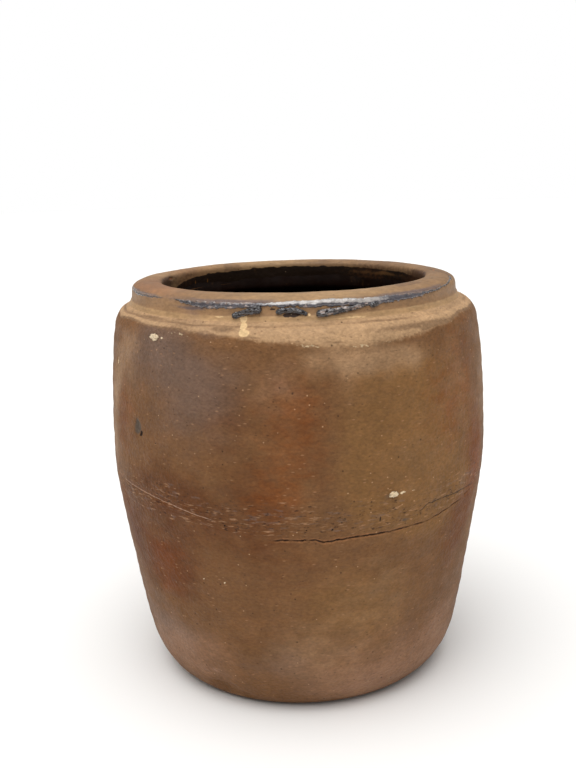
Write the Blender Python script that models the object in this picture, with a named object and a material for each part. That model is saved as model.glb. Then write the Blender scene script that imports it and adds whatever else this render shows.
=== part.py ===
"""A butter crock: a tall salt-fired stoneware jar, built up the way a potter builds a big one.

The floor is a slab, the lower wall is a ring set around it, and a second ring with the belly is luted on top of
the lower wall with slip. A coil turned inwards makes the shoulder, and a thick one the collar and rim. Glaze lines the inside as a thin cup, and a dark
glaze has run over the outer edge of the rim. Every one of these is its own object. The origin is the centre of the
underside, +Z is up, and the side with the glaze runs faces -Y.
"""

from math import cos, pi, radians, sin, sqrt

import bmesh
import bpy
from mathutils import Vector
from mathutils.geometry import interpolate_bezier

# Driving dimensions, in metres.
HEIGHT = 0.336
BELLY_RADIUS = 0.160
BELLY_HEIGHT = 0.200
FOOT_RADIUS = 0.112
FLOOR_THICKNESS = 0.016
WALL_THICKNESS = 0.0145
SEAM_HEIGHT = 0.158
SEAM_RADIUS = 0.1562
SHOULDER_JOINT = 0.290  # where the shoulder's coil sits on the upper wall
SHOULDER_HEIGHT = 0.298
SHOULDER_RADIUS = 0.1525
NECK_HEIGHT = 0.318
NECK_RADIUS = 0.1385
COLLAR_RADIUS = 0.136
MOUTH_RADIUS = 0.1100
GLAZE_THICKNESS = 0.0010
GAP = 0.0003  # between two pieces that touch

SEGMENTS = 64  # facets around every turned piece
FRONT = -90.0  # azimuth of the side with the glaze runs, in degrees


def curve(start, start_handle, end_handle, end, count):
    """Points (radius, height) along a cubic Bezier, without its last point."""
    knots = [Vector((r, z, 0.0)) for r, z in (start, start_handle, end_handle, end)]
    return [(p.x, p.y) for p in interpolate_bezier(*knots, count + 1)[:-1]]


def material(name, colour, roughness, coat=0.0):
    """A Principled material. colour is linear RGB."""
    made = bpy.data.materials.new(name)
    made.use_nodes = True
    shader = made.node_tree.nodes["Principled BSDF"]
    shader.inputs["Base Color"].default_value = (*colour, 1.0)
    shader.inputs["Roughness"].default_value = roughness
    shader.inputs["Coat Weight"].default_value = coat
    made.diffuse_color = (*colour, 1.0)
    return made


def finish(name, mesh_builder, surface, sharp_angle=40.0):
    """Turn a bmesh into a named, smooth-shaded object with its faces pointing out."""
    bmesh.ops.recalc_face_normals(mesh_builder, faces=mesh_builder.faces)
    mesh = bpy.data.meshes.new(name)
    mesh_builder.to_mesh(mesh)
    mesh_builder.free()
    mesh.materials.append(surface)
    mesh.shade_smooth()
    mesh.set_sharp_from_angle(angle=radians(sharp_angle))
    made = bpy.data.objects.new(name, mesh)
    bpy.context.collection.objects.link(made)
    return made


def close_loops(builder, loops, wrap):
    """Join neighbouring loops of vertices with faces. A loop of one vertex is a point on the axis or a tip."""
    pairs = list(zip(loops, loops[1:]))
    if wrap:
        pairs.append((loops[-1], loops[0]))
    for low, high in pairs:
        count = max(len(low), len(high))
        if count == 1:
            continue
        for i in range(count):
            j = (i + 1) % count
            corners = [low[i % len(low)], low[j % len(low)], high[j % len(high)], high[i % len(high)]]
            builder.faces.new(list(dict.fromkeys(corners)))


def turned(name, outline, surface):
    """A solid of revolution from an outline of (radius, height) that starts and ends on the axis, or is a loop."""
    builder = bmesh.new()
    loops = []
    for radius, height in outline:
        if radius < 1e-6:
            loops.append([builder.verts.new((0.0, 0.0, height))])
            continue
        angles = [2 * pi * i / SEGMENTS for i in range(SEGMENTS)]
        loops.append([builder.verts.new((radius * cos(a), radius * sin(a), height)) for a in angles])
    close_loops(builder, loops, wrap=outline[0][0] > 1e-6)
    return finish(name, builder, surface)


# Outlines. Each wall runs up its outer side and back down its inner side.


def lower_outside(top):
    """From the foot up to the seam: a rounded heel, a bowed flank, then an almost straight taper."""
    heel = (0.1345, 0.030)
    flank = (0.1506, 0.119)
    return [
        *curve((FOOT_RADIUS, 0.0), (0.1210, 0.003), (0.1305, 0.017), heel, 5),
        *curve(heel, (0.1400, 0.046), (0.1465, 0.090), flank, 3),
        flank,
        (SEAM_RADIUS, top),
    ]


def upper_outside():
    """From the seam over the belly and the shoulder to the foot of the collar."""
    bottom = SEAM_HEIGHT
    belly = (BELLY_RADIUS, BELLY_HEIGHT)
    shoulder = (SHOULDER_RADIUS, SHOULDER_HEIGHT)
    neck = (NECK_RADIUS, NECK_HEIGHT)
    return [
        *curve((SEAM_RADIUS, bottom), (0.1586, 0.175), (BELLY_RADIUS, 0.187), belly, 3),
        *curve(belly, (BELLY_RADIUS, 0.233), (0.1565, 0.272), shoulder, 4),
        *curve(shoulder, (0.1510, 0.307), (0.1465, 0.313), neck, 5),
        neck,
    ]


def collar_outside(bottom):
    """The collar: a small cove, a short upright side, a rounded outer edge and a top that rises to its crest."""
    side = (COLLAR_RADIUS, 0.3250)
    edge = (0.1346, 0.3300)
    slope = (0.1290, 0.3335)
    crest = (0.1160, HEIGHT)
    lip = (MOUTH_RADIUS, 0.3300)
    return [
        *curve((NECK_RADIUS - GAP, bottom), (0.1372, 0.3190), (0.1363, 0.3215), side, 3),
        *curve(side, (0.1358, 0.3268), (0.1355, 0.3285), edge, 2),
        *curve(edge, (0.1338, 0.3320), (0.1320, 0.3329), slope, 3),
        *curve(slope, (0.1255, 0.3346), (0.1200, HEIGHT), crest, 3),
        *curve(crest, (0.1125, HEIGHT), (MOUTH_RADIUS, 0.3340), lip, 4),
        lip,
    ]


def inside_wall(offset=0.0):
    """The hollow from the edge of the floor up to the lip, moved inwards by offset."""
    floor_edge = (0.1000, FLOOR_THICKNESS)
    cove = (0.1175, 0.034)
    seam = (SEAM_RADIUS - WALL_THICKNESS, SEAM_HEIGHT)
    belly = (BELLY_RADIUS - WALL_THICKNESS, BELLY_HEIGHT)
    ceiling = (0.1390, 0.288)
    throat = (0.1120, 0.3115)
    path = [
        *curve(floor_edge, (0.1095, FLOOR_THICKNESS), (0.1150, 0.022), cove, 4),
        *curve(cove, (0.1240, 0.058), (0.1380, 0.130), seam, 3),
        *curve(seam, (0.1436, 0.170), (belly[0], 0.187), belly, 2),
        *curve(belly, (belly[0], 0.230), (0.1435, 0.272), ceiling, 3),
        *curve(ceiling, (0.1350, 0.300), (0.1210, 0.3050), throat, 4),
        throat,
        (MOUTH_RADIUS, 0.3300),
    ]
    return shifted_inwards(path, offset)


def shifted_inwards(path, offset):
    """Move every point of an open (radius, height) path to its left, towards the hollow, by offset."""
    moved = []
    for i, (r, z) in enumerate(path):
        before = path[max(i - 1, 0)]
        after = path[min(i + 1, len(path) - 1)]
        dr = after[0] - before[0]
        dz = after[1] - before[1]
        length = sqrt(dr * dr + dz * dz)
        moved.append((r - offset * dz / length, z + offset * dr / length))
    return moved


def radius_at(path, height):
    """The radius where a rising (radius, height) path passes a height."""
    for (r0, z0), (r1, z1) in zip(path, path[1:]):
        if z0 <= height <= z1 and z1 > z0:
            return r0 + (r1 - r0) * (height - z0) / (z1 - z0)
    return path[-1][0]


def between(path, low, high):
    """The stretch of a rising path that lies strictly between two heights, with the cut ends put in."""
    kept = [p for p in path if low + 1e-6 < p[1] < high - 1e-6]
    return [(radius_at(path, low), low), *kept, (radius_at(path, high), high)]


# Pieces.


def floor_slab(clay):
    """The round slab that the jar stands on."""
    radius = 0.1000 - GAP
    chamfer = 0.0006
    outline = [
        (0.0, 0.0),
        (radius - chamfer, 0.0),
        (radius, chamfer),
        (radius, FLOOR_THICKNESS),
        (0.0, FLOOR_THICKNESS),
    ]
    return turned("floor_slab", outline, clay)


def lower_wall(clay):
    """The first ring, from the foot to the seam."""
    top = SEAM_HEIGHT - 0.001 - GAP / 2
    inner = between(inside_wall(), FLOOR_THICKNESS, top)
    outline = [*lower_outside(top), *reversed(inner), (0.1000, 0.0)]
    return turned("lower_wall", outline, clay)


def seam_slip(slip):
    """The ring of slip that lutes the two walls together, a little back from both faces."""
    low = SEAM_HEIGHT - 0.001 + GAP / 2
    high = SEAM_HEIGHT + 0.001 - GAP / 2
    inner = SEAM_RADIUS - WALL_THICKNESS + 0.0008
    outer = SEAM_RADIUS - 0.0004
    outline = [(outer, low), (outer, high), (inner, high), (inner, low)]
    return turned("seam_slip", outline, slip)


def upper_wall(clay):
    """The second ring, with the belly."""
    bottom = SEAM_HEIGHT + 0.001 + GAP / 2
    top = SHOULDER_JOINT - GAP / 2
    outer = between(upper_outside(), bottom, top)
    inner = between(inside_wall(), bottom, top)
    return turned("upper_wall", [*outer, *reversed(inner)], clay)


def shoulder_ring(clay):
    """The coil turned inwards over the upper wall: the shoulder and the ledge that carries the collar."""
    bottom = SHOULDER_JOINT + GAP / 2
    outer = between(upper_outside(), bottom, NECK_HEIGHT)
    inner = between(inside_wall(), bottom, NECK_HEIGHT)
    return turned("shoulder_ring", [*outer, *reversed(inner)], clay)


def rim_collar(clay):
    """The thick coil that makes the collar, the rim and the lip of the mouth."""
    bottom = NECK_HEIGHT + GAP
    inner = between(inside_wall(), bottom, 0.3300)
    outline = [*collar_outside(bottom), *reversed(inner[:-1])]
    return turned("rim_collar", outline, clay)


def liner_glaze(glaze):
    """The dark glaze inside, a thin cup from the floor to just under the lip."""
    top = 0.3290
    back = between(inside_wall(GAP), FLOOR_THICKNESS + GAP, top)
    face = between(inside_wall(GAP + GLAZE_THICKNESS), FLOOR_THICKNESS + GAP + GLAZE_THICKNESS, top)
    outline = [(0.0, back[0][1]), *back, *reversed(face), (0.0, face[0][1])]
    return turned("liner_glaze", outline, glaze)


def edge_point(along, lift):
    """A point (radius, height) just above the rounded outer edge of the rim; along is 0 at its foot, 1 on top."""
    centre = (0.1290, 0.3272)
    radius = 0.0064 + lift
    turn = radians(8.0 + 88.0 * along)
    return centre[0] + radius * cos(turn), centre[1] + radius * sin(turn)


def glaze_strip(name, start, end, surface, reach=(0.0, 0.75), thickness=0.0012, step=5.0):
    """Glaze lying along the outer edge of the rim, from azimuth start to end in degrees, thinning at both ends."""
    builder = bmesh.new()
    count = max(3, round((end - start) / step))
    low, high = reach
    middle = (low + high) / 2
    loops = []
    for i in range(count + 1):
        share = i / count
        swell = 0.35 + 0.65 * sqrt(sin(pi * min(max(share, 0.02), 0.98)))
        azimuth = radians(start + (end - start) * share)
        section = []
        for side, lift in ((0.0, GAP + 0.0002), (0.5, GAP + 0.0002), (1.0, GAP + 0.0002), (0.5, None)):
            along = middle + (low - middle + (high - low) * side) * swell
            depth = GAP + 0.0002 + thickness * swell if lift is None else lift
            section.append(edge_point(along, depth))
        loops.append([builder.verts.new((r * cos(azimuth), r * sin(azimuth), z)) for r, z in section])
    close_loops(builder, loops, wrap=False)
    builder.faces.new(loops[0])
    builder.faces.new(list(reversed(loops[-1])))
    return finish(name, builder, surface)


def glaze_run(name, start, end, thickness, surface, rings=7, sides=8):
    """A rounded run of glaze on the collar, between two (azimuth in degrees, height) points."""
    builder = bmesh.new()
    collar = collar_outside(NECK_HEIGHT + GAP)
    loops = []
    for i in range(rings + 1):
        share = i / rings
        azimuth = radians(start[0] + (end[0] - start[0]) * share)
        height = start[1] + (end[1] - start[1]) * share
        swell = sqrt(max(0.0, 1 - (2 * share - 1) ** 4))
        half = thickness / 2 * swell
        reach = radius_at(collar, height) + thickness / 2 + 2 * GAP
        if i in (0, rings):
            loops.append([builder.verts.new((reach * cos(azimuth), reach * sin(azimuth), height))])
            continue
        loop = []
        for k in range(sides):
            turn = 2 * pi * k / sides
            r = reach + half * cos(turn)
            loop.append(builder.verts.new((r * cos(azimuth), r * sin(azimuth), height + half * sin(turn))))
        loops.append(loop)
    close_loops(builder, loops, wrap=False)
    return finish(name, builder, surface)


def lime_grain(name, azimuth, height, wall_radius, size, surface):
    """A grain of burnt lime that shows in the wall: a small flattened pebble."""
    along, depth, tall = size
    builder = bmesh.new()
    bmesh.ops.create_icosphere(builder, subdivisions=2, radius=0.5)
    turn = radians(azimuth)
    outwards = Vector((cos(turn), sin(turn), 0.0))
    sideways = Vector((sin(turn), -cos(turn), 0.0))
    centre = outwards * (wall_radius + depth / 2 + GAP) + Vector((0.0, 0.0, height))
    for vertex in builder.verts:
        x, y, z = vertex.co
        vertex.co = centre + sideways * (x * along) + outwards * (y * depth) + Vector((0.0, 0.0, z * tall))
    return finish(name, builder, surface)


def main():
    for old in list(bpy.data.objects):
        bpy.data.objects.remove(old)
    clay = material("salt_fired_stoneware", (0.195, 0.098, 0.048), 0.60)
    rim_clay = material("salt_fired_rim", (0.330, 0.195, 0.105), 0.55)
    slip = material("luting_slip", (0.230, 0.130, 0.065), 0.75)
    liner = material("brown_liner_glaze", (0.012, 0.005, 0.003), 0.16, coat=0.5)
    dark = material("dark_kiln_glaze", (0.030, 0.030, 0.034), 0.18, coat=0.6)
    lime = material("burnt_lime", (0.600, 0.540, 0.360), 0.85)

    floor_slab(clay)
    lower_wall(clay)
    seam_slip(slip)
    upper_wall(clay)
    shoulder_ring(clay)
    rim_collar(rim_clay)
    liner_glaze(liner)

    glaze_strip("glaze_band_side", -173.0, -136.0, dark, reach=(0.35, 0.70), thickness=0.0006)
    glaze_strip("glaze_band_front", -132.0, -12.0, dark)

    glaze_run("glaze_run_left", (-109.0, 0.3212), (-100.3, 0.3258), 0.0040, dark)
    glaze_run("glaze_run_middle", (-95.5, 0.3243), (-86.6, 0.3218), 0.0042, dark)
    glaze_run("glaze_run_right", (-83.4, 0.3216), (-67.0, 0.3256), 0.0040, dark, rings=9)
    glaze_run("glaze_bead", (-65.6, 0.3250), (-63.0, 0.3256), 0.0030, dark, rings=4)

    lime_grain("lime_grain_shoulder", -134.5, 0.3036, 0.1513, (0.0090, 0.0026, 0.0050), lime)
    lime_grain("lime_grain_belly", -64.2, 0.1875, 0.1600, (0.0095, 0.0016, 0.0050), lime)


main()
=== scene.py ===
import logging
from collections.abc import Sequence
from dataclasses import dataclass
from enum import Enum
from typing import Any

import bpy
import numpy as np
from mathutils import Matrix, Vector
from mathutils.geometry import interpolate_bezier


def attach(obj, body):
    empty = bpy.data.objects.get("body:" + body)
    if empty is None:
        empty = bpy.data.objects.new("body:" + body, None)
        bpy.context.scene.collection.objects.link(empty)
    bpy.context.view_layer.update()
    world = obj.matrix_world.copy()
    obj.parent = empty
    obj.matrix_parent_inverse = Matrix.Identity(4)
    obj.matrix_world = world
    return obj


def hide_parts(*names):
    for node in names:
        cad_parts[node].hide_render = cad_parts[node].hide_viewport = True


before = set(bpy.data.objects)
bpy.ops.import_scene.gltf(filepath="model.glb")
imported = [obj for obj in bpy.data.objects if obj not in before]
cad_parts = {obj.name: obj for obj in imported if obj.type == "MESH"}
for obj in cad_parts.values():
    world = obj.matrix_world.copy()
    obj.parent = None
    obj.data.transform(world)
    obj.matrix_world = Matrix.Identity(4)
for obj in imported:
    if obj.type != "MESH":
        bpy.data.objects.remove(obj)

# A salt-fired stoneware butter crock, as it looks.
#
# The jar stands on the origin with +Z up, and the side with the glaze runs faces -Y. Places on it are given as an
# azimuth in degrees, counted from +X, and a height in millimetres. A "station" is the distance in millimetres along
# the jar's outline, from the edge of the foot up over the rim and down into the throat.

Array = np.ndarray
Place = tuple[float, float]
MM = 0.001
WALL_RADIUS = 155.0  # mm, the wall's mean radius, for lengths around it
FRONT = -80.0  # degrees, the middle of the side where the ledge's crumbs are thickest
FAR = 50.0  # mm, kept in a distance mask where there is no line near
LINES = ("seam", "scratch", "low_scratch", "second_crack")  # masks that hold a distance in mm
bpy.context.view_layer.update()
LOG = logging.getLogger("butter_crock")


# ---------------------------------------------------------------- tools for shapes


def smooth(value: Array, low: float, high: float) -> Array:
    """Go softly from 0 at low to 1 at high, by 3t^2 - 2t^3."""
    t = np.clip((value - low) / (high - low), 0.0, 1.0)
    return t * t * (3.0 - 2.0 * t)


def turn_between(azimuth: Array, centre: float) -> Array:
    """Signed angle in degrees from a centre azimuth, wrapped into -180 to 180."""
    return (np.degrees(azimuth) - centre + 180.0) % 360.0 - 180.0


@dataclass(frozen=True)
class Grain:
    """Smooth random lumps on the unrolled wall, without a join where it closes.

    Random values stand on a lattice whose cells shrink by half with each octave, and each point blends its four
    neighbours with the weights of 6t^5 - 15t^4 + 10t^3.
    """

    seed: int
    cell: float  # mm, height of a lump
    stretch: float = 1.0  # how many times longer a lump is around the jar than up it
    octaves: int = 2
    girth: float = 1000.0  # mm around the jar

    def at(self, azimuth: Array, station: Array) -> Array:
        """Read the lumps at each azimuth and station.

        Args:
            azimuth: azimuths in radians.
            station: stations in mm.

        Returns:
            The lumps, from about -1 to 1, of the shape that the two make together.
        """
        total = np.zeros(np.broadcast(azimuth, station).shape)
        for octave in range(self.octaves):
            cell = self.cell / 2**octave
            columns = max(3, round(self.girth / (cell * self.stretch)))
            table = np.random.default_rng((self.seed, octave)).uniform(-1.0, 1.0, (columns, 257))
            u = azimuth / (2 * np.pi) * columns
            v = station / cell + 31.4
            iu = np.floor(u).astype(int)
            iv = np.floor(v).astype(int)
            fu = u - iu
            fv = v - iv
            wu = fu**3 * (fu * (6 * fu - 15) + 10)
            wv = fv**3 * (fv * (6 * fv - 15) + 10)
            low = table[iu % columns, iv % 257] * (1 - wu) + table[(iu + 1) % columns, iv % 257] * wu
            high = table[iu % columns, (iv + 1) % 257] * (1 - wu) + table[(iu + 1) % columns, (iv + 1) % 257] * wu
            total = total + (low * (1 - wv) + high * wv) / 2**octave
        return total


@dataclass(frozen=True)
class Patch:
    """A soft-edged oval on the wall."""

    azimuth: float  # degrees
    height: float  # mm, up the outside
    wide: float  # mm, half width around the jar
    tall: float  # mm, half height
    strength: float = 1.0
    edge: float = 1.0  # 1 fades from the middle, small values give a crisp edge
    inner: bool = False  # the height is on the throat side

    def mask(self, azimuth: Array, station: Array, profile: "Profile") -> Array:
        """Lay the oval on the wall.

        Args:
            azimuth: azimuths in radians.
            station: stations in mm.
            profile: the jar's outline.

        Returns:
            The oval's strength inside, falling to 0 across its edge.
        """
        middle = profile.inner_station(self.height) if self.inner else profile.station(self.height)
        x = np.radians(turn_between(azimuth, self.azimuth)) * WALL_RADIUS / self.wide
        y = (station - middle) / self.tall
        return self.strength * (1.0 - smooth(np.hypot(x, y), 1.0 - self.edge, 1.0))


@dataclass(frozen=True)
class Line:
    """A crack, scratch or groove that runs around the wall, through places from left to right."""

    places: tuple[Place, ...]  # (azimuth in degrees, height in mm)
    wander: float = 0.35  # mm
    seed: int = 5

    def offset(self, azimuth: Array, station: Array, profile: "Profile") -> Array:
        """Measure how far each point lies above the line, whose path is straight between places, plus lumps.

        Args:
            azimuth: azimuths in radians.
            station: stations in mm.
            profile: the jar's outline.

        Returns:
            The signed height above the line in mm.
        """
        azimuths = np.array([a for a, _ in self.places])
        stations = np.array([profile.station(h) for _, h in self.places])
        centre = (azimuths[0] + azimuths[-1]) / 2
        turn = turn_between(azimuth, centre) + centre
        path = np.interp(turn, azimuths, stations)
        path = path + self.wander * Grain(self.seed, 5.0, octaves=3).at(azimuth, 0.0 * station)
        return station - path

    def length(self, azimuth: Array) -> Array:
        """Mark the azimuths that the line spans.

        Args:
            azimuth: azimuths in radians.

        Returns:
            1 along the line, fading to 0 within 2 degrees of its ends.
        """
        first, last = self.places[0][0], self.places[-1][0]
        centre = (first + last) / 2
        beyond = np.abs(turn_between(azimuth, centre)) - (last - first) / 2
        return 1.0 - smooth(beyond, -2.0, 0.0)


class Profile:
    """An outline of the turned jar, (radius, height) in mm, walked by its length."""

    def __init__(self, bends: Sequence[tuple[Place, Place, Place, Place]], samples: int = 160) -> None:
        """Trace cubic Bezier bends joined end to end.

        Args:
            bends: start, start handle, end handle and end of each bend.
            samples: points read from each bend.
        """
        points: list[tuple[float, float]] = []
        for bend in bends:
            knots = [Vector((r, z, 0.0)) for r, z in bend]
            traced = [(p.x, p.y) for p in interpolate_bezier(*knots, samples)]
            points += traced if not points else traced[1:]
        self.radius, self.height = np.array(points).T
        steps = np.hypot(np.diff(self.radius), np.diff(self.height))
        self.length = np.concatenate([[0.0], np.cumsum(steps)])
        run_r = np.gradient(self.radius, self.length)
        run_z = np.gradient(self.height, self.length)
        size = np.hypot(run_r, run_z)
        self.out_r, self.out_z = run_z / size, -run_r / size
        self.crest = int(np.argmax(self.height))

    @property
    def total(self) -> float:
        """Length of the whole outline in mm."""
        return float(self.length[-1])

    def station(self, height: float) -> float:
        """Return the station of a height on the outside, below the crest."""
        return float(np.interp(height, self.height[: self.crest + 1], self.length[: self.crest + 1]))

    def inner_station(self, height: float) -> float:
        """Return the station of a height on the throat side, past the crest."""
        return float(np.interp(-height, -self.height[self.crest :], self.length[self.crest :]))

    def at(self, station: Array) -> tuple[Array, Array, Array, Array]:
        """Read the outline at stations, straight between its traced points.

        Args:
            station: stations in mm.

        Returns:
            Radius and height in mm, and the outward normal's radial and upward parts.
        """
        columns = (self.radius, self.height, self.out_r, self.out_z)
        radius, height, out_r, out_z = (np.interp(station, self.length, column) for column in columns)
        size = np.hypot(out_r, out_z)
        return radius, height, out_r / size, out_z / size


def solid(name: str, points: Array, wrap_rows: bool = True, tips: tuple[Array | None, Array | None] = (None, None),
          crease: float = 50.0) -> bpy.types.Object:
    """Make a closed mesh from a grid of points whose columns close on themselves.

    Each cell of the grid is a quad. Rows close on themselves too, or end in a fan to a tip.

    Args:
        name: the piece's name.
        points: rows x columns x 3, in mm. Across the columns x up the rows is the outward side.
        wrap_rows: join the last row to the first.
        tips: a point beyond the first row and one beyond the last, or None.
        crease: edges sharper than this angle in degrees stay sharp.

    Returns:
        The new object, smooth-shaded, at the origin.
    """
    rows, columns, _ = points.shape
    corners = points.reshape(-1, 3)
    index = np.arange(rows * columns).reshape(rows, columns)
    low = index if wrap_rows else index[:-1]
    high = np.roll(index, -1, axis=0) if wrap_rows else index[1:]
    quads = np.stack([low, np.roll(low, -1, 1), np.roll(high, -1, 1), high], axis=-1).reshape(-1, 4)
    fans = []
    for tip, row, turn in ((tips[0], index[0], 1), (tips[1], index[-1], -1)):
        if tip is None:
            continue
        corners = np.vstack([corners, tip])
        pair = np.stack([row, np.roll(row, -1)], axis=1)[:, :: -turn]
        fans.append(np.column_stack([pair, np.full(columns, len(corners) - 1)]))
    triangles = np.concatenate(fans) if fans else np.zeros((0, 3), int)

    mesh = bpy.data.meshes.new(name)
    mesh.vertices.add(len(corners))
    mesh.vertices.foreach_set("co", (corners * MM).astype(np.float32).ravel())
    mesh.loops.add(quads.size + triangles.size)
    mesh.loops.foreach_set("vertex_index", np.concatenate([quads.ravel(), triangles.ravel()]).astype(np.int32))
    starts = np.concatenate([np.arange(len(quads)) * 4, quads.size + np.arange(len(triangles)) * 3])
    mesh.polygons.add(len(starts))
    mesh.polygons.foreach_set("loop_start", starts.astype(np.int32))
    mesh.update(calc_edges=True)
    mesh.validate()
    mesh.shade_smooth()
    mesh.set_sharp_from_angle(angle=np.radians(crease))
    piece = bpy.data.objects.new(name, mesh)
    bpy.context.scene.collection.objects.link(piece)
    return piece


def paint(piece: bpy.types.Object, masks: dict[str, Array]) -> None:
    """Store named masks on a piece's points, filling tips that the grid has no value for with the last one.

    Args:
        piece: the piece to paint.
        masks: by name, a grid of values in the order of the piece's points.
    """
    count = len(piece.data.vertices)
    for name, values in masks.items():
        flat = values.astype(np.float32).ravel()
        flat = np.concatenate([flat, np.full(count - len(flat), flat[-1], np.float32)])
        piece.data.attributes.new(name, "FLOAT", "POINT").data.foreach_set("value", flat)


def seat(piece: bpy.types.Object, node: str, finish: bpy.types.Material) -> bpy.types.Object:
    """Let a piece stand for a CAD node, ride with the jar and wear its finish.

    Args:
        piece: the new piece.
        node: the CAD node that it stands for.
        finish: its material.

    Returns:
        The piece.
    """
    piece.data.materials.append(finish)
    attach(piece, "root")
    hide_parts(node)
    LOG.info("%s: %d faces for %s", piece.name, len(piece.data.polygons), node)
    return piece


# ---------------------------------------------------------------- tools for finishes


def linear(colour: str) -> tuple[float, float, float, float]:
    """Turn an sRGB hex colour into linear RGBA."""
    parts = [int(colour[i : i + 2], 16) / 255 for i in (1, 3, 5)]
    return (*(p / 12.92 if p <= 0.04045 else ((p + 0.055) / 1.055) ** 2.4 for p in parts), 1.0)


def add(tree: bpy.types.NodeTree, kind: str, inputs: dict[Any, Any] | None = None, out: Any = 0,
        **settings: Any) -> Any:
    """Add a node with its settings, and set or link its inputs.

    Args:
        tree: the material's or world's node tree.
        kind: the node's type, without "ShaderNode".
        inputs: by socket name or index, a value or an output socket to link.
        out: name or index of the output wanted, or None.
        settings: the node's own properties.

    Returns:
        The wanted output socket.
    """
    node = tree.nodes.new("ShaderNode" + kind)
    for name, value in settings.items():
        setattr(node, name, value)
    for socket, value in (inputs or {}).items():
        if isinstance(value, bpy.types.NodeSocket):
            tree.links.new(value, node.inputs[socket])
        else:
            node.inputs[socket].default_value = value
    return None if out is None else node.outputs[out]


def blank(name: str) -> tuple[bpy.types.Material, bpy.types.NodeTree]:
    """Make a material with an empty node tree.

    Args:
        name: the material's name.

    Returns:
        The material and its tree.
    """
    material = bpy.data.materials.new(name)
    material.use_nodes = True
    material.node_tree.nodes.clear()
    return material, material.node_tree


class Laid(Enum):
    """How a colour is laid over another."""

    OVER = "MIX"
    STAIN = "MULTIPLY"


@dataclass(frozen=True)
class Grit:
    """A random unevenness of one size."""

    size: float  # mm
    change: float  # share of the brightness, or depth in mm
    stretch: float = 1.0  # how many times longer around the jar than up it
    within: str = ""  # a mask that limits it


@dataclass(frozen=True)
class Layer:
    """A colour laid on where one of the piece's own masks says."""

    mask: str
    colour: str
    amount: float = 1.0
    start: float = 0.0  # value of the mask where the colour begins
    full: float = 1.0  # and where it has its whole amount
    torn: float = 0.0  # how much fine mottling moves its border, in the mask's own units
    within: str = ""  # another mask that limits it
    how: Laid = Laid.OVER
    tear: Grit = Grit(3.0, 0.0)  # the mottling that moves its border
    bump: float = 0.0  # mm, positive stands proud where the colour lies


@dataclass(frozen=True)
class Specks:
    """Grains scattered in the surface, drawn out a little along the turning where they are stretched."""

    spacing: float  # mm between cells
    size: float  # radius as a share of the spacing
    share: float  # share of the cells that hold one
    colour: str
    amount: float
    bump: float = 0.0  # mm, positive stands proud
    stretch: float = 1.0  # how many times longer around the jar than up it


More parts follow.
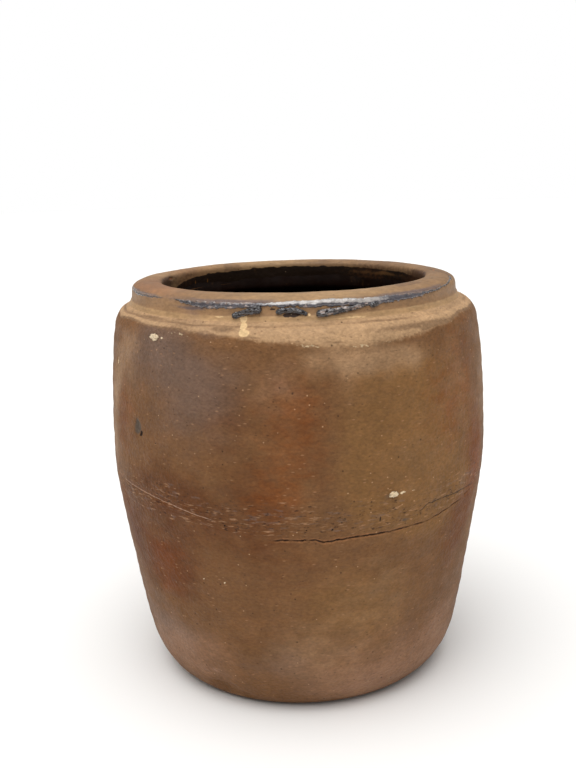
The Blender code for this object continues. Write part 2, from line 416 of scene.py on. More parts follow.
@dataclass(frozen=True)
class Ceramic:
    """A fired surface: a ground colour, masked layers, specks, mottling, and the bumps of its grain.

    It holds what clay and glaze share. Each finish below is one of these with its own sizes.
    """

    name: str
    ground: str
    layers: tuple[Layer, ...] = ()
    specks: tuple[Specks, ...] = ()
    mottle: tuple[Grit, ...] = (Grit(24.0, 0.11), Grit(6.0, 0.10, 1.7), Grit(1.7, 0.25, 1.7))
    relief: tuple[Grit, ...] = (Grit(4.4, 0.34), Grit(1.7, 0.20))
    rough: tuple[float, float] = (0.56, 0.72)  # lowest and highest roughness
    ior: float = 1.5
    shine: float = 0.3  # strength of the reflection: a salt skin is thin and broken
    coat: float = 0.0
    polish: tuple[tuple[str, float], ...] = ()  # masks that change the roughness, and to what

    def build(self) -> bpy.types.Material:
        """Make the material's nodes.

        Returns:
            The material: its colours from the ground up, then its specks, bumps and shader.
        """
        material, tree = blank(self.name)
        spot = add(tree, "TexCoord", out="Object")
        tears = {layer.tear: self.noise(tree, spot, layer.tear, 3.0) for layer in self.layers if layer.torn}
        colour = add(tree, "RGB")
        colour.default_value = linear(self.ground)
        height = 0.0
        for layer in self.layers:
            amount = self.amount(tree, layer, tears.get(layer.tear))
            colour = add(tree, "Mix", {0: amount, 6: colour, 7: linear(layer.colour)}, 2,
                         data_type="RGBA", blend_type=layer.how.value)
            if layer.bump:
                height = add(tree, "Math", {0: amount, 1: layer.bump, 2: height}, operation="MULTIPLY_ADD")
        for grit in self.mottle:
            noise = self.noise(tree, spot, grit, 4.0)
            factor = add(tree, "MapRange", {0: noise, 1: 0.3, 2: 0.7, 3: 1 - grit.change, 4: 1 + grit.change})
            colour = add(tree, "HueSaturation", {"Color": colour, "Value": factor})
        for speck in self.specks:
            drawn = add(tree, "Mapping", {"Vector": spot, "Scale": (1 / speck.stretch, 1 / speck.stretch, 1.0)})
            found = {"Vector": drawn, "Scale": 1000 / speck.spacing}
            chosen = add(tree, "Math", {0: add(tree, "TexVoronoi", found, "Color"), 1: speck.share},
                         operation="LESS_THAN")
            grain = add(tree, "MapRange", {0: add(tree, "TexVoronoi", found, "Distance"), 1: speck.size,
                                           2: speck.size * 0.4, 3: 0.0, 4: chosen})
            amount = add(tree, "Math", {0: grain, 1: speck.amount}, operation="MULTIPLY")
            colour = add(tree, "Mix", {0: amount, 6: colour, 7: linear(speck.colour)}, 2, data_type="RGBA")
            height = add(tree, "Math", {0: grain, 1: speck.bump, 2: height}, operation="MULTIPLY_ADD")
        for grit in self.relief:
            height = add(tree, "Math", {0: self.noise(tree, spot, grit, 2.0), 1: grit.change, 2: height},
                         operation="MULTIPLY_ADD")
        rough = self.noise(tree, spot, Grit(14.0, 0.0), 3.0)
        rough = add(tree, "MapRange", {0: rough, 1: 0.3, 2: 0.7, 3: self.rough[0], 4: self.rough[1]})
        for where, value in self.polish:
            rough = add(tree, "Mix", {0: add(tree, "Attribute", out="Fac", attribute_name=where), 2: rough, 3: value})
        normal = add(tree, "Bump", {"Height": height, "Distance": MM, "Strength": 1.0}, "Normal")
        shader = add(tree, "BsdfPrincipled", {
            "Base Color": colour, "Roughness": rough, "Normal": normal, "IOR": self.ior,
            "Specular IOR Level": self.shine, "Coat Weight": self.coat, "Coat Roughness": 0.12})
        add(tree, "OutputMaterial", {"Surface": shader}, None)
        return material

    def noise(self, tree: bpy.types.NodeTree, spot: Any, grit: Grit, detail: float) -> Any:
        """Add noise with lumps of a grit's size, drawn out around the jar and limited to its mask.

        Args:
            tree: the material's node tree.
            spot: the socket of object coordinates.
            grit: the size, stretch and mask.
            detail: octaves of finer noise.

        Returns:
            The noise's socket.
        """
        drawn = add(tree, "Mapping", {"Vector": spot, "Scale": (1 / grit.stretch, 1 / grit.stretch, 1.0)})
        found = add(tree, "TexNoise", {"Vector": drawn, "Scale": 1000 / grit.size, "Detail": detail}, "Fac")
        if grit.within:
            limit = add(tree, "Attribute", out="Fac", attribute_name=grit.within)
            found = add(tree, "Math", {0: found, 1: limit}, operation="MULTIPLY")
        return found

    def amount(self, tree: bpy.types.NodeTree, layer: Layer, torn: Any) -> Any:
        """Turn a layer's mask into the share of its colour: |mask|, torn at its border, then softly mapped.

        Args:
            tree: the material's node tree.
            layer: the layer.
            torn: the noise socket that tears its border, or None.

        Returns:
            The socket of the colour's share.
        """
        found = add(tree, "Attribute", out="Fac", attribute_name=layer.mask)
        found = add(tree, "Math", {0: found}, operation="ABSOLUTE")
        if layer.torn:
            found = add(tree, "Math", {0: torn, 1: 2 * layer.torn, 2: found}, operation="MULTIPLY_ADD")
            found = add(tree, "Math", {0: found, 1: layer.torn}, operation="SUBTRACT")
        found = add(tree, "MapRange", {0: found, 1: layer.start, 2: layer.full, 3: 0.0, 4: layer.amount},
                    interpolation_type="SMOOTHSTEP")
        if layer.within:
            limit = add(tree, "Attribute", out="Fac", attribute_name=layer.within)
            found = add(tree, "Math", {0: found, 1: limit}, operation="MULTIPLY")
        return found


# Salt-glazed stoneware, a coarse clay turned on a wheel: brown, flashed red by flame and greyed by ash, with the
# dimples of orange peel, dark iron and pale grit in it, the grit lightened with painted glints, and a low sheen that
# wakes at grazing angles.
WALL_CLAY = Ceramic(
    name="salt_glazed_stoneware",
    ground="#734F2F",
    layers=(
        Layer("haze", "#7B6251", 0.90, torn=0.30, tear=Grit(13.0, 0.0, 1.7)),
        Layer("umber", "#572B06", 0.85, torn=0.40, tear=Grit(9.0, 0.0, 1.8)),
        Layer("olive", "#805B33", 0.85, torn=0.35, tear=Grit(17.0, 0.0, 1.5)),
        Layer("flash", "#783C08", 0.80, torn=0.45, tear=Grit(7.0, 0.0, 1.6)),
        Layer("dusk", "#6F5748", 0.95, torn=0.25, tear=Grit(13.0, 0.0, 1.7)),
        Layer("ochre", "#FFF9D8", 1.0, how=Laid.STAIN),
        Layer("straw", "#A68462", 0.80, torn=0.30, tear=Grit(10.0, 0.0, 1.6)),
        Layer("blush", "#98735A", 0.80, torn=0.30, tear=Grit(11.0, 0.0, 2.0)),
        # painted light: a lighter tan where the shoulder's ledge faces up
        Layer("lit_ledge", "#B3906B", 0.92, 0.10, 0.90, torn=0.35),
        # painted shade in the groove across the ledge and at three spots, and a painted shadow line under its lip
        Layer("shade", "#765A40", 0.75, 0.15, 0.85, torn=0.25),
        Layer("ash", "#554D44", 0.85, 0.1, 0.8, torn=0.35),
        Layer("dragged", "#BD936F", 0.42, 1.13, 1.40, 1.0, tear=Grit(1.7, 0.0, 5.0), bump=0.08),
        Layer("dragged", "#70635C", 0.36, 1.12, 1.42, 1.0, tear=Grit(2.8, 0.0, 3.6)),
        Layer("dragged", "#22130B", 0.65, 1.18, 1.38, 1.0, tear=Grit(1.5, 0.0, 3.0), bump=-0.18),
        Layer("crumbs", "#D8C09A", 0.70, 1.00, 1.22, 0.9, tear=Grit(1.5, 0.0, 1.7), bump=0.15),
        # the cream drip, and a painted highlight along the crest of the roll under the collar
        Layer("cream_and_highlight", "#D6B586", 0.95, 0.25, 0.60, torn=0.12),
        Layer("lime", "#E4D0AE", 0.90, 0.40, 0.62, torn=0.34, tear=Grit(1.9, 0.0)),
        Layer("scratch", "#C8A68C", 0.50, 0.54, 0.10, 0.45, "scratch_length"),
        Layer("low_scratch", "#3A2212", 0.45, 0.60, 0.10, 0.35, "low_scratch_length"),
        Layer("second_crack", "#1C100A", 0.75, 0.75, 0.15, 0.45, "second_crack_length"),
        # orange along both lips of the crack: the broken clay's colour, with a painted highlight on the lips' edges
        Layer("seam", "#A06C44", 0.45, 2.6, 1.0, 0.8, "open"),
        Layer("seam", "#160B06", 0.94, 1.1, 0.3, 0.60, "open", tear=Grit(1.9, 0.0)),
        # painted shade, near black, in the pits and in the crater's hole
        Layer("pit_shade", "#120A06", 0.95, 0.30, 0.65, torn=0.15),
    ),
    specks=(
        Specks(6.5, 0.15, 0.30, "#24130A", 0.70, -0.12),
        Specks(3.0, 0.22, 0.34, "#331D0F", 0.45, -0.06, 1.8),
        # The two pale specks are pale grit, made lighter to stand in for glints of light on it: painted highlight.
        Specks(5.6, 0.13, 0.30, "#D0A880", 0.60, 0.06),
        Specks(2.8, 0.24, 0.28, "#B78A64", 0.38, 0.05, 2.6),
    ),
    mottle=(Grit(24.0, 0.10), Grit(6.0, 0.07, 1.7), Grit(1.7, 0.17, 1.7)),
    relief=(Grit(7.0, 0.70, 1.4), Grit(3.6, 1.15), Grit(1.7, 0.60), Grit(1.6, 0.45, 14.0, "dragged")),
    shine=0.2,
    polish=(("dusk", 0.48),),
)

# The same clay on the rim, where salt and flame bleached it: tan, smoother from the wet leather that finished it.
RIM_CLAY = Ceramic(
    name="salt_glazed_stoneware_rim",
    ground="#93714F",
    layers=(
        Layer("haze", "#8C6F5E", 0.80, torn=0.30, tear=Grit(8.0, 0.0, 2.0)),
        Layer("straw", "#AD8A62", 0.70),
        Layer("top", "#8A6947", 0.90),
        Layer("rust", "#8B6040", 0.80, torn=0.20),
        Layer("bleached", "#A07F59", 0.90, torn=0.20),
        # painted light: a lighter tan where the shoulder's ledge faces up
        Layer("lit_ledge", "#AE8B62", 0.85, 0.15, 0.85, torn=0.2),
        # painted shade in the groove across the ledge and at three spots, and a painted shadow line under its lip
        Layer("shade", "#80603F", 0.70, 0.15, 0.85, torn=0.25),
        # darker patches on the rim top, random ones and broad ones at fixed azimuths
        Layer("darker_patches", "#674B35", 0.60, 0.20, 0.95, torn=0.30),
        Layer("smoke", "#5C5256", 0.75, 0.15, 0.95, torn=0.35, tear=Grit(3.4, 0.0, 3.0)),
        Layer("crumbs", "#D8C09A", 0.70, 1.00, 1.22, 0.9, tear=Grit(1.5, 0.0, 1.7)),
        Layer("throat", "#170B06", 0.97, 0.25, 0.75, torn=0.25),
        Layer("toffee", "#6E4D2C", 0.90, 0.15, 0.90, torn=0.40, within="throat"),
        Layer("amber", "#8A5A28", 0.75, 0.40, 0.95, torn=0.25, within="throat"),
        Layer("scab", "#4A2C18", 0.85, 0.20, 0.80, torn=0.45),
        # the cream drip, and a painted highlight along the crest of the roll under the collar
        Layer("cream_and_highlight", "#D6B586", 0.95, 0.25, 0.60, torn=0.12),
        Layer("chip", "#C2662A", 0.90, 0.30, 0.70, torn=0.15),
        Layer("thread", "#30241E", 0.70, 0.25, 0.70, torn=0.25),
        # painted shade of the middle run's curl, over the dark red-brown clay under it
        Layer("pocket_shade", "#220E07", 0.95, 0.30, 0.65, torn=0.12),
    ),
    specks=(
        Specks(6.0, 0.14, 0.32, "#33211A", 0.60, -0.08),
        Specks(4.4, 0.12, 0.25, "#DDBF96", 0.40, 0.04),
    ),
    mottle=(Grit(20.0, 0.08, 2.5), Grit(6.0, 0.10, 3.0), Grit(1.8, 0.16, 2.0)),
    relief=(Grit(3.2, 0.18), Grit(1.5, 0.12)),
    rough=(0.46, 0.62),
    polish=(("throat", 0.42),),
)

# Ash glaze melted in the kiln and run off the rim: black-violet and glassy where thick, rusty brown where thin.
RUN_GLAZE = Ceramic(
    name="melted_ash_glaze",
    ground="#231C1D",
    layers=(
        # steel_and_sheen: the band's grey tone across its front, and a painted sheen on the runs' upper side
        Layer("steel_and_sheen", "#4D484E", 0.80, 0.2, 0.9, torn=0.3),
        Layer("crust", "#A08C82", 0.80, 0.55, 0.85, torn=1.00, tear=Grit(2.4, 0.0, 1.8)),
        # painted_highlight is a painted highlight: the overhead light's reflection on the band's front and on the runs'
        # tops
        Layer("painted_highlight", "#B4ACA6", 0.85, 0.30, 0.95, torn=0.55, tear=Grit(2.2, 0.0, 2.0)),
        Layer("thin", "#7C6250", 0.90, 0.55, 0.95, torn=0.45, tear=Grit(2.8, 0.0, 2.0)),
    ),
    specks=(Specks(3.6, 0.22, 0.40, "#0D0908", 0.8, -0.14), Specks(3.0, 0.16, 0.3, "#8C7A66", 0.5, 0.05)),
    mottle=(Grit(5.0, 0.30),),
    relief=(Grit(3.4, 0.5), Grit(1.6, 0.22)),
    rough=(0.16, 0.34),
    ior=1.55,
    shine=0.6,
    coat=0.6,
)

# Brown slip glaze poured inside and fired to glass: almost black in the depth, toffee where it drew thin.
LINING_GLAZE = Ceramic(
    name="brown_slip_glaze",
    ground="#1B0D07",
    layers=(
        Layer("drawn", "#2E190D", 0.70, 0.20, 0.90, torn=0.35),
        Layer("toffee", "#664728", 0.80, 0.15, 0.90, torn=0.40),
        Layer("amber", "#8A5A28", 0.75, 0.40, 0.95, torn=0.25),
        Layer("bare", "#8C6A48", 0.90, 0.25, 0.75, torn=0.30),
    ),
    specks=(
        Specks(9.0, 0.12, 0.25, "#B59468", 0.55, 0.05),
        Specks(6.0, 0.16, 0.35, "#0C0604", 0.8, -0.08),
    ),
    mottle=(Grit(18.0, 0.25), Grit(4.0, 0.20)),
    relief=(Grit(6.0, 0.22), Grit(2.0, 0.08)),
    rough=(0.30, 0.48),
    ior=1.5,
    shine=0.3,
    polish=(("bare", 0.6),),
)

# Limestone grain burnt to lime in the kiln: chalk-white to cream, crumbly and quite matt.
BURNT_LIME = Ceramic(
    name="burnt_lime",
    ground="#DFCBAC",
    specks=(Specks(2.2, 0.30, 0.40, "#8C7350", 0.8, -0.20), Specks(1.4, 0.30, 0.30, "#F2E9CC", 0.6, 0.1)),
    mottle=(Grit(2.5, 0.18),),
    relief=(Grit(1.2, 0.4),),
    rough=(0.85, 0.95),
)

# Slip that joined the two rings, dried dark with a century of dust in the crack.
JOINT_SLIP = Ceramic(name="dried_luting_slip", ground="#1C100A", mottle=(Grit(4.0, 0.4),), rough=(0.85, 0.95))

# Matt white studio board: even and pale, so that the jar's own colours are read against it.
FLOOR_BOARD = Ceramic(name="matt_white_board", ground="#F0EFED", mottle=(Grit(400.0, 0.004),), relief=(),
                      rough=(0.75, 0.85))


# ---------------------------------------------------------------- the jar's form


@dataclass(frozen=True)
class JarForm:
    """The outlines that every piece of the jar is cut from, in mm."""

    foot_radius: float = 112.0
    belly_radius: float = 159.6
    belly_height: float = 200.0
    seam_height: float = 158.0
    shoulder_joint: float = 290.0
    neck_height: float = 317.4
    height: float = 335.8
    mouth_radius: float = 110.0
    wall: float = 14.5

    def outside(self) -> Profile:
        """Trace the outline from the edge of the foot, over the rim and down into the throat.

        Returns:
            The outline.
        """
        foot, heel, flank = (self.foot_radius, 0.0), (134.5, 30.0), (150.6, 119.0)
        seam, belly = (156.2, self.seam_height), (self.belly_radius, self.belly_height)
        shoulder, neck = (152.9, 297.5), (138.6, self.neck_height)
        side, edge, slope = (135.9, 325.0), (134.9, 330.8), (129.8, 334.2)
        crest, lip, throat = (119.0, self.height), (self.mouth_radius, 330.0), (112.0, 311.5)
        return Profile([
            (foot, (121.0, 2.6), (130.5, 17.0), heel),
            (heel, (139.6, 46.0), (146.3, 90.0), flank),
            (flank, (152.5, 132.0), (154.3, 145.0), seam),
            (seam, (158.6, 173.0), (self.belly_radius, 184.0), belly),
            (belly, (self.belly_radius, 233.0), (157.2, 272.0), shoulder),
            (shoulder, (152.0, 306.8), (149.0, 313.4), neck),
            (neck, (136.8, 318.8), (136.2, 321.2), side),
            (side, (135.7, 327.4), (135.6, 329.2), edge),
            (edge, (134.2, 332.2), (132.6, 333.2), slope),
            (slope, (127.2, 335.1), (123.8, self.height), crest),
            (crest, (113.2, self.height), (self.mouth_radius, 334.6), lip),
            (lip, (self.mouth_radius, 323.0), (111.0, 316.0), throat),
        ])

    def off_axis(self, height: Array) -> Array:
        """How far in mm the hand-set collar stands off the body's axis, along X, at a height."""
        return -1.2 * smooth(height, 306.0, 322.0)

    def inside(self) -> Profile:
        """Trace the hollow from the middle of the floor up to the lip.

        Returns:
            The hollow's outline.
        """
        floor, edge, cove = (0.5, 16.6), (98.0, 16.4), (117.5, 34.0)
        seam = (156.2 - self.wall, self.seam_height)
        belly = (160.0 - self.wall, self.belly_height)
        ceiling, throat, lip = (139.0, 288.0), (112.0, 311.5), (self.mouth_radius, 330.0)
        return Profile([
            (floor, (30.0, 17.6), (66.0, 16.0), edge),
            (edge, (108.5, 16.8), (114.8, 22.0), cove),
            (cove, (124.0, 58.0), (138.0, 130.0), seam),
            (seam, (143.6, 170.0), (belly[0], 187.0), belly),
            (belly, (belly[0], 230.0), (143.5, 272.0), ceiling),
            (ceiling, (135.0, 300.0), (121.0, 305.0), throat),
            (throat, (111.0, 316.0), (self.mouth_radius, 323.0), lip),
        ])


@dataclass(frozen=True)
class Skin:
    """The outer surface of the fired clay: the turned outline with its hand-made relief, cracks and knocks."""

    form: JarForm = JarForm()
    seam: Line = Line(
        ((-200.0, 160.0), (-150.0, 162.0), (-118.0, 161.0), (-100.0, 158.2), (-92.0, 158.2), (-86.0, 157.8),
         (-84.0, 155.6), (-82.0, 155.5), (-80.0, 157.3), (-70.0, 157.5), (-50.0, 158.6), (-45.0, 161.6),
         (-38.0, 163.5), (-30.0, 167.5), (-15.0, 166.0), (20.0, 162.0), (90.0, 158.0), (160.0, 160.0)),
        wander=0.55, seed=3)
    scratch: Line = Line(
        ((-154.0, 181.5), (-146.0, 181.0), (-138.0, 180.0), (-127.0, 176.8), (-118.5, 172.6), (-114.0, 170.8)),
        wander=0.25, seed=11)
    second_crack: Line = Line(
        ((-56.0, 168.0), (-51.5, 172.8), (-46.0, 173.4), (-40.5, 172.6), (-33.0, 172.0), (-27.0, 170.5)),
        wander=0.6, seed=12)
    low_scratch: Line = Line(((-140.0, 163.5), (-136.0, 158.5), (-132.0, 152.4), (-129.0, 149.0)), 0.3, 13)
    knocks: tuple[tuple[Patch, float], ...] = (
        (Patch(-121.5, 13.5, 26.0, 12.0, edge=0.75), 2.4),  # flake off the heel
        (Patch(-112.0, 9.0, 14.0, 7.0, edge=0.8), 1.4),
        (Patch(-141.8, 231.6, 5.4, 8.4, edge=0.6), 1.7),  # crater
        (Patch(-140.0, 227.6, 2.4, 3.4, edge=0.8), 1.8),
        (Patch(-64.2, 187.4, 6.2, 4.0, edge=0.8), 0.8),  # pocket of the lime grain on the belly
        (Patch(-134.4, 303.6, 6.4, 3.8, edge=0.8), 0.7),  # pocket of the lime grain on the shoulder
        (Patch(-157.5, 277.0, 3.4, 5.4, edge=0.8), 0.9),
        (Patch(-60.0, 164.8, 5.0, 2.4, edge=0.9), 0.6),
        (Patch(-67.9, 169.5, 0.9, 4.0, edge=0.9), 0.5),
        (Patch(-111.1, 167.7, 1.6, 1.4, edge=0.9), 0.9),
        (Patch(-124.1, 182.6, 1.5, 1.2, edge=0.9), 0.7),
        (Patch(-49.2, 29.7, 1.6, 1.5, edge=0.9), 0.9),
        (Patch(-88.4, 166.2, 1.5, 1.2, edge=0.9), 0.7),
        (Patch(-81.6, 165.7, 2.6, 1.2, edge=0.9), 0.7),
        (Patch(178.0, 186.0, 70.0, 32.0), -0.5),  # full cheek on the left
        (Patch(166.0, 331.4, 13.0, 2.6, edge=0.9, inner=True), 0.8),  # bite out of the lip
        (Patch(35.0, 250.0, 5.0, 4.0, edge=0.7), 1.2),
        (Patch(118.0, 92.0, 9.0, 6.0, edge=0.8), 1.1),
        (Patch(168.0, 215.0, 3.5, 3.0, edge=0.8), 1.2),
    )

    def opening(self, azimuth: Array) -> Array:
        """Open the crack along the seam across the front and right, with one short gape behind.

        Args:
            azimuth: azimuths in radians.

        Returns:
            The crack's width in mm.
        """
        front = smooth(turn_between(azimuth, -99.0), 0.0, 5.0) * (1 - smooth(turn_between(azimuth, -24.0), -3.0, 7.0))
        behind = 0.6 * np.exp(-(turn_between(azimuth, 118.0) / 13.0) ** 2)
        lumps = [Grain(seed, cell).at(azimuth, 0.0 * azimuth) for seed, cell in ((21, 12.0), (22, 3.4))]
        gape = 0.42 + 0.34 * lumps[0] + 0.34 * lumps[1]
        tight = 1 - 0.55 * smooth(turn_between(azimuth, -48.0), -6.0, 6.0)
        return np.clip(gape, 0.08, 1.1) * np.clip(front * tight + behind, 0.0, 1.0)

    def above_seam(self, azimuth: Array, station: Array, profile: Profile) -> Array:
        """Measure how far each point lies above the wandering seam, along the outline.

        Args:
            azimuth: azimuths in radians.
            station: stations in mm.
            profile: the jar's outline.

        Returns:
            The signed distance in mm.
        """
        flat = self.seam
        azimuths = np.array([a for a, _ in flat.places])
        stations = np.array([profile.station(h) for _, h in flat.places])
        path = np.interp(np.degrees(azimuth), azimuths, stations, period=360.0)
        lumps = Grain(flat.seed, 5.0, octaves=3).at(azimuth, 0.0 * azimuth)
        return station - path - flat.wander * lumps * self.broken(azimuth)

    def broken(self, azimuth: Array) -> Array:
        """Return 1 where the seam is cracked and ragged, 0 where it is smooth."""
        return np.clip(self.opening(azimuth) * 4.0, 0.0, 1.0)

    def relief(self, azimuth: Array, station: Array, profile: Profile) -> Array:
        """Height of the surface above the turned outline in mm.

        It adds a slow oval and lumps from the hands, faint throwing rings, fine turned lines above the seam, grit,
        then takes away each knock, scratch and the frayed lips of the crack.

        Args:
            azimuth: azimuths in radians.
            station: stations in mm.
            profile: the jar's outline.

        Returns:
            The height in mm.
        """
        on_wall = 1 - smooth(station, profile.station(300.0), profile.station(323.0))
        on_rim = smooth(station, profile.station(322.0), profile.station(329.0))
        foot = smooth(station, 2.0, 14.0)
        height = 0.0 * azimuth + station
        oval = -0.30 * (1.0 - np.cos(2 * (azimuth - 0.35))) * on_wall
        hand = 0.38 * Grain(31, 62.0, 1.6).at(azimuth, height) + 0.17 * Grain(32, 17.0, 2.6).at(azimuth, height)
        throwing = 0.11 * np.sin(2 * np.pi * station / 13.0 + 1.3 * Grain(33, 80.0, 2.0).at(azimuth, height))
        above = self.above_seam(azimuth, station, profile)
        dragged = smooth(above, 1.0, 6.0) * (1 - smooth(above, 22.0, 40.0))
        lines = 0.16 * Grain(34, 2.6, 22.0, octaves=1).at(azimuth, height) * dragged
        grit = 0.05 * Grain(35, 5.0, 1.2).at(azimuth, height) + 0.035 * Grain(36, 2.6, 1.1, 1).at(azimuth, height)
        surface = oval + foot * (hand * (0.9 * on_wall + 0.35) + throwing * on_wall + lines + grit)
        rim = 0.22 * Grain(41, 26.0, 2.2).at(azimuth, height) + 0.10 * Grain(42, 6.0, 6.0).at(azimuth, height)
        surface = surface + rim * on_rim - 0.25 + self.roll(azimuth, station, profile)
        for patch, depth in self.knocks:
            ragged = 1.0 + 0.35 * Grain(51, 4.0).at(azimuth, height)
            surface = surface - depth * patch.mask(azimuth, station, profile) * ragged
        for line, wide, depth in ((self.scratch, 0.9, 0.35), (self.low_scratch, 0.8, 0.25),
                                  (self.second_crack, 0.8, 0.4)):
            groove = np.exp(-(line.offset(azimuth, station, profile) / wide) ** 2)
            surface = surface - depth * groove * line.length(azimuth)
        lip = 0.55 + 0.45 * Grain(52, 4.0, octaves=2).at(azimuth, height)
        fray = self.broken(azimuth) * np.clip(lip, 0.0, 1.0)
        return surface - 1.1 * fray * np.exp(-np.abs(above) / 0.8)

    def roll(self, azimuth: Array, station: Array, profile: Profile) -> Array:
        """Height in mm of the small roll left by the rib at the foot of the collar, and of the groove below it.

        Each is a bell curve across the station, 2.2 and 2.0 mm wide, and drifts a little up and down around the jar.

        Args:
            azimuth: azimuths in radians.
            station: stations in mm.
            profile: the jar's outline.

        Returns:
            The height in mm.
        """
        drift = 0.8 * Grain(53, 45.0, 1.5).at(azimuth, 0.0 * station)
        strength = 0.8 + 0.3 * Grain(54, 40.0, 1.5).at(azimuth, 0.0 * station)
        roll = np.exp(-((station - profile.station(319.6) - drift) / 2.2) ** 2)
        groove = np.exp(-((station - profile.station(315.6) - drift) / 2.0) ** 2)
        return strength * (0.75 * roll - 0.95 * groove)

    def points(self, azimuth: Array, station: Array) -> Array:
        """Place the surface: the outline, moved along its normal by the relief and turned around the axis.

        Args:
            azimuth: azimuths in radians.
            station: stations in mm.

        Returns:
            The points in mm, with a last axis for X, Y and Z.
        """
        profile = self.form.outside()
        radius, height, out_r, out_z = profile.at(station)
        rise = self.relief(azimuth, station, profile)
        r = radius + out_r * rise
        z = np.maximum(height + out_z * rise, 0.0)
        return np.stack([r * np.cos(azimuth) + self.form.off_axis(z), r * np.sin(azimuth), z], axis=-1)

    def seam_station(self, azimuth: Array) -> Array:
        """Return the station of the wandering seam at each azimuth, in mm."""
        return -self.above_seam(azimuth, 0.0 * azimuth, self.form.outside())


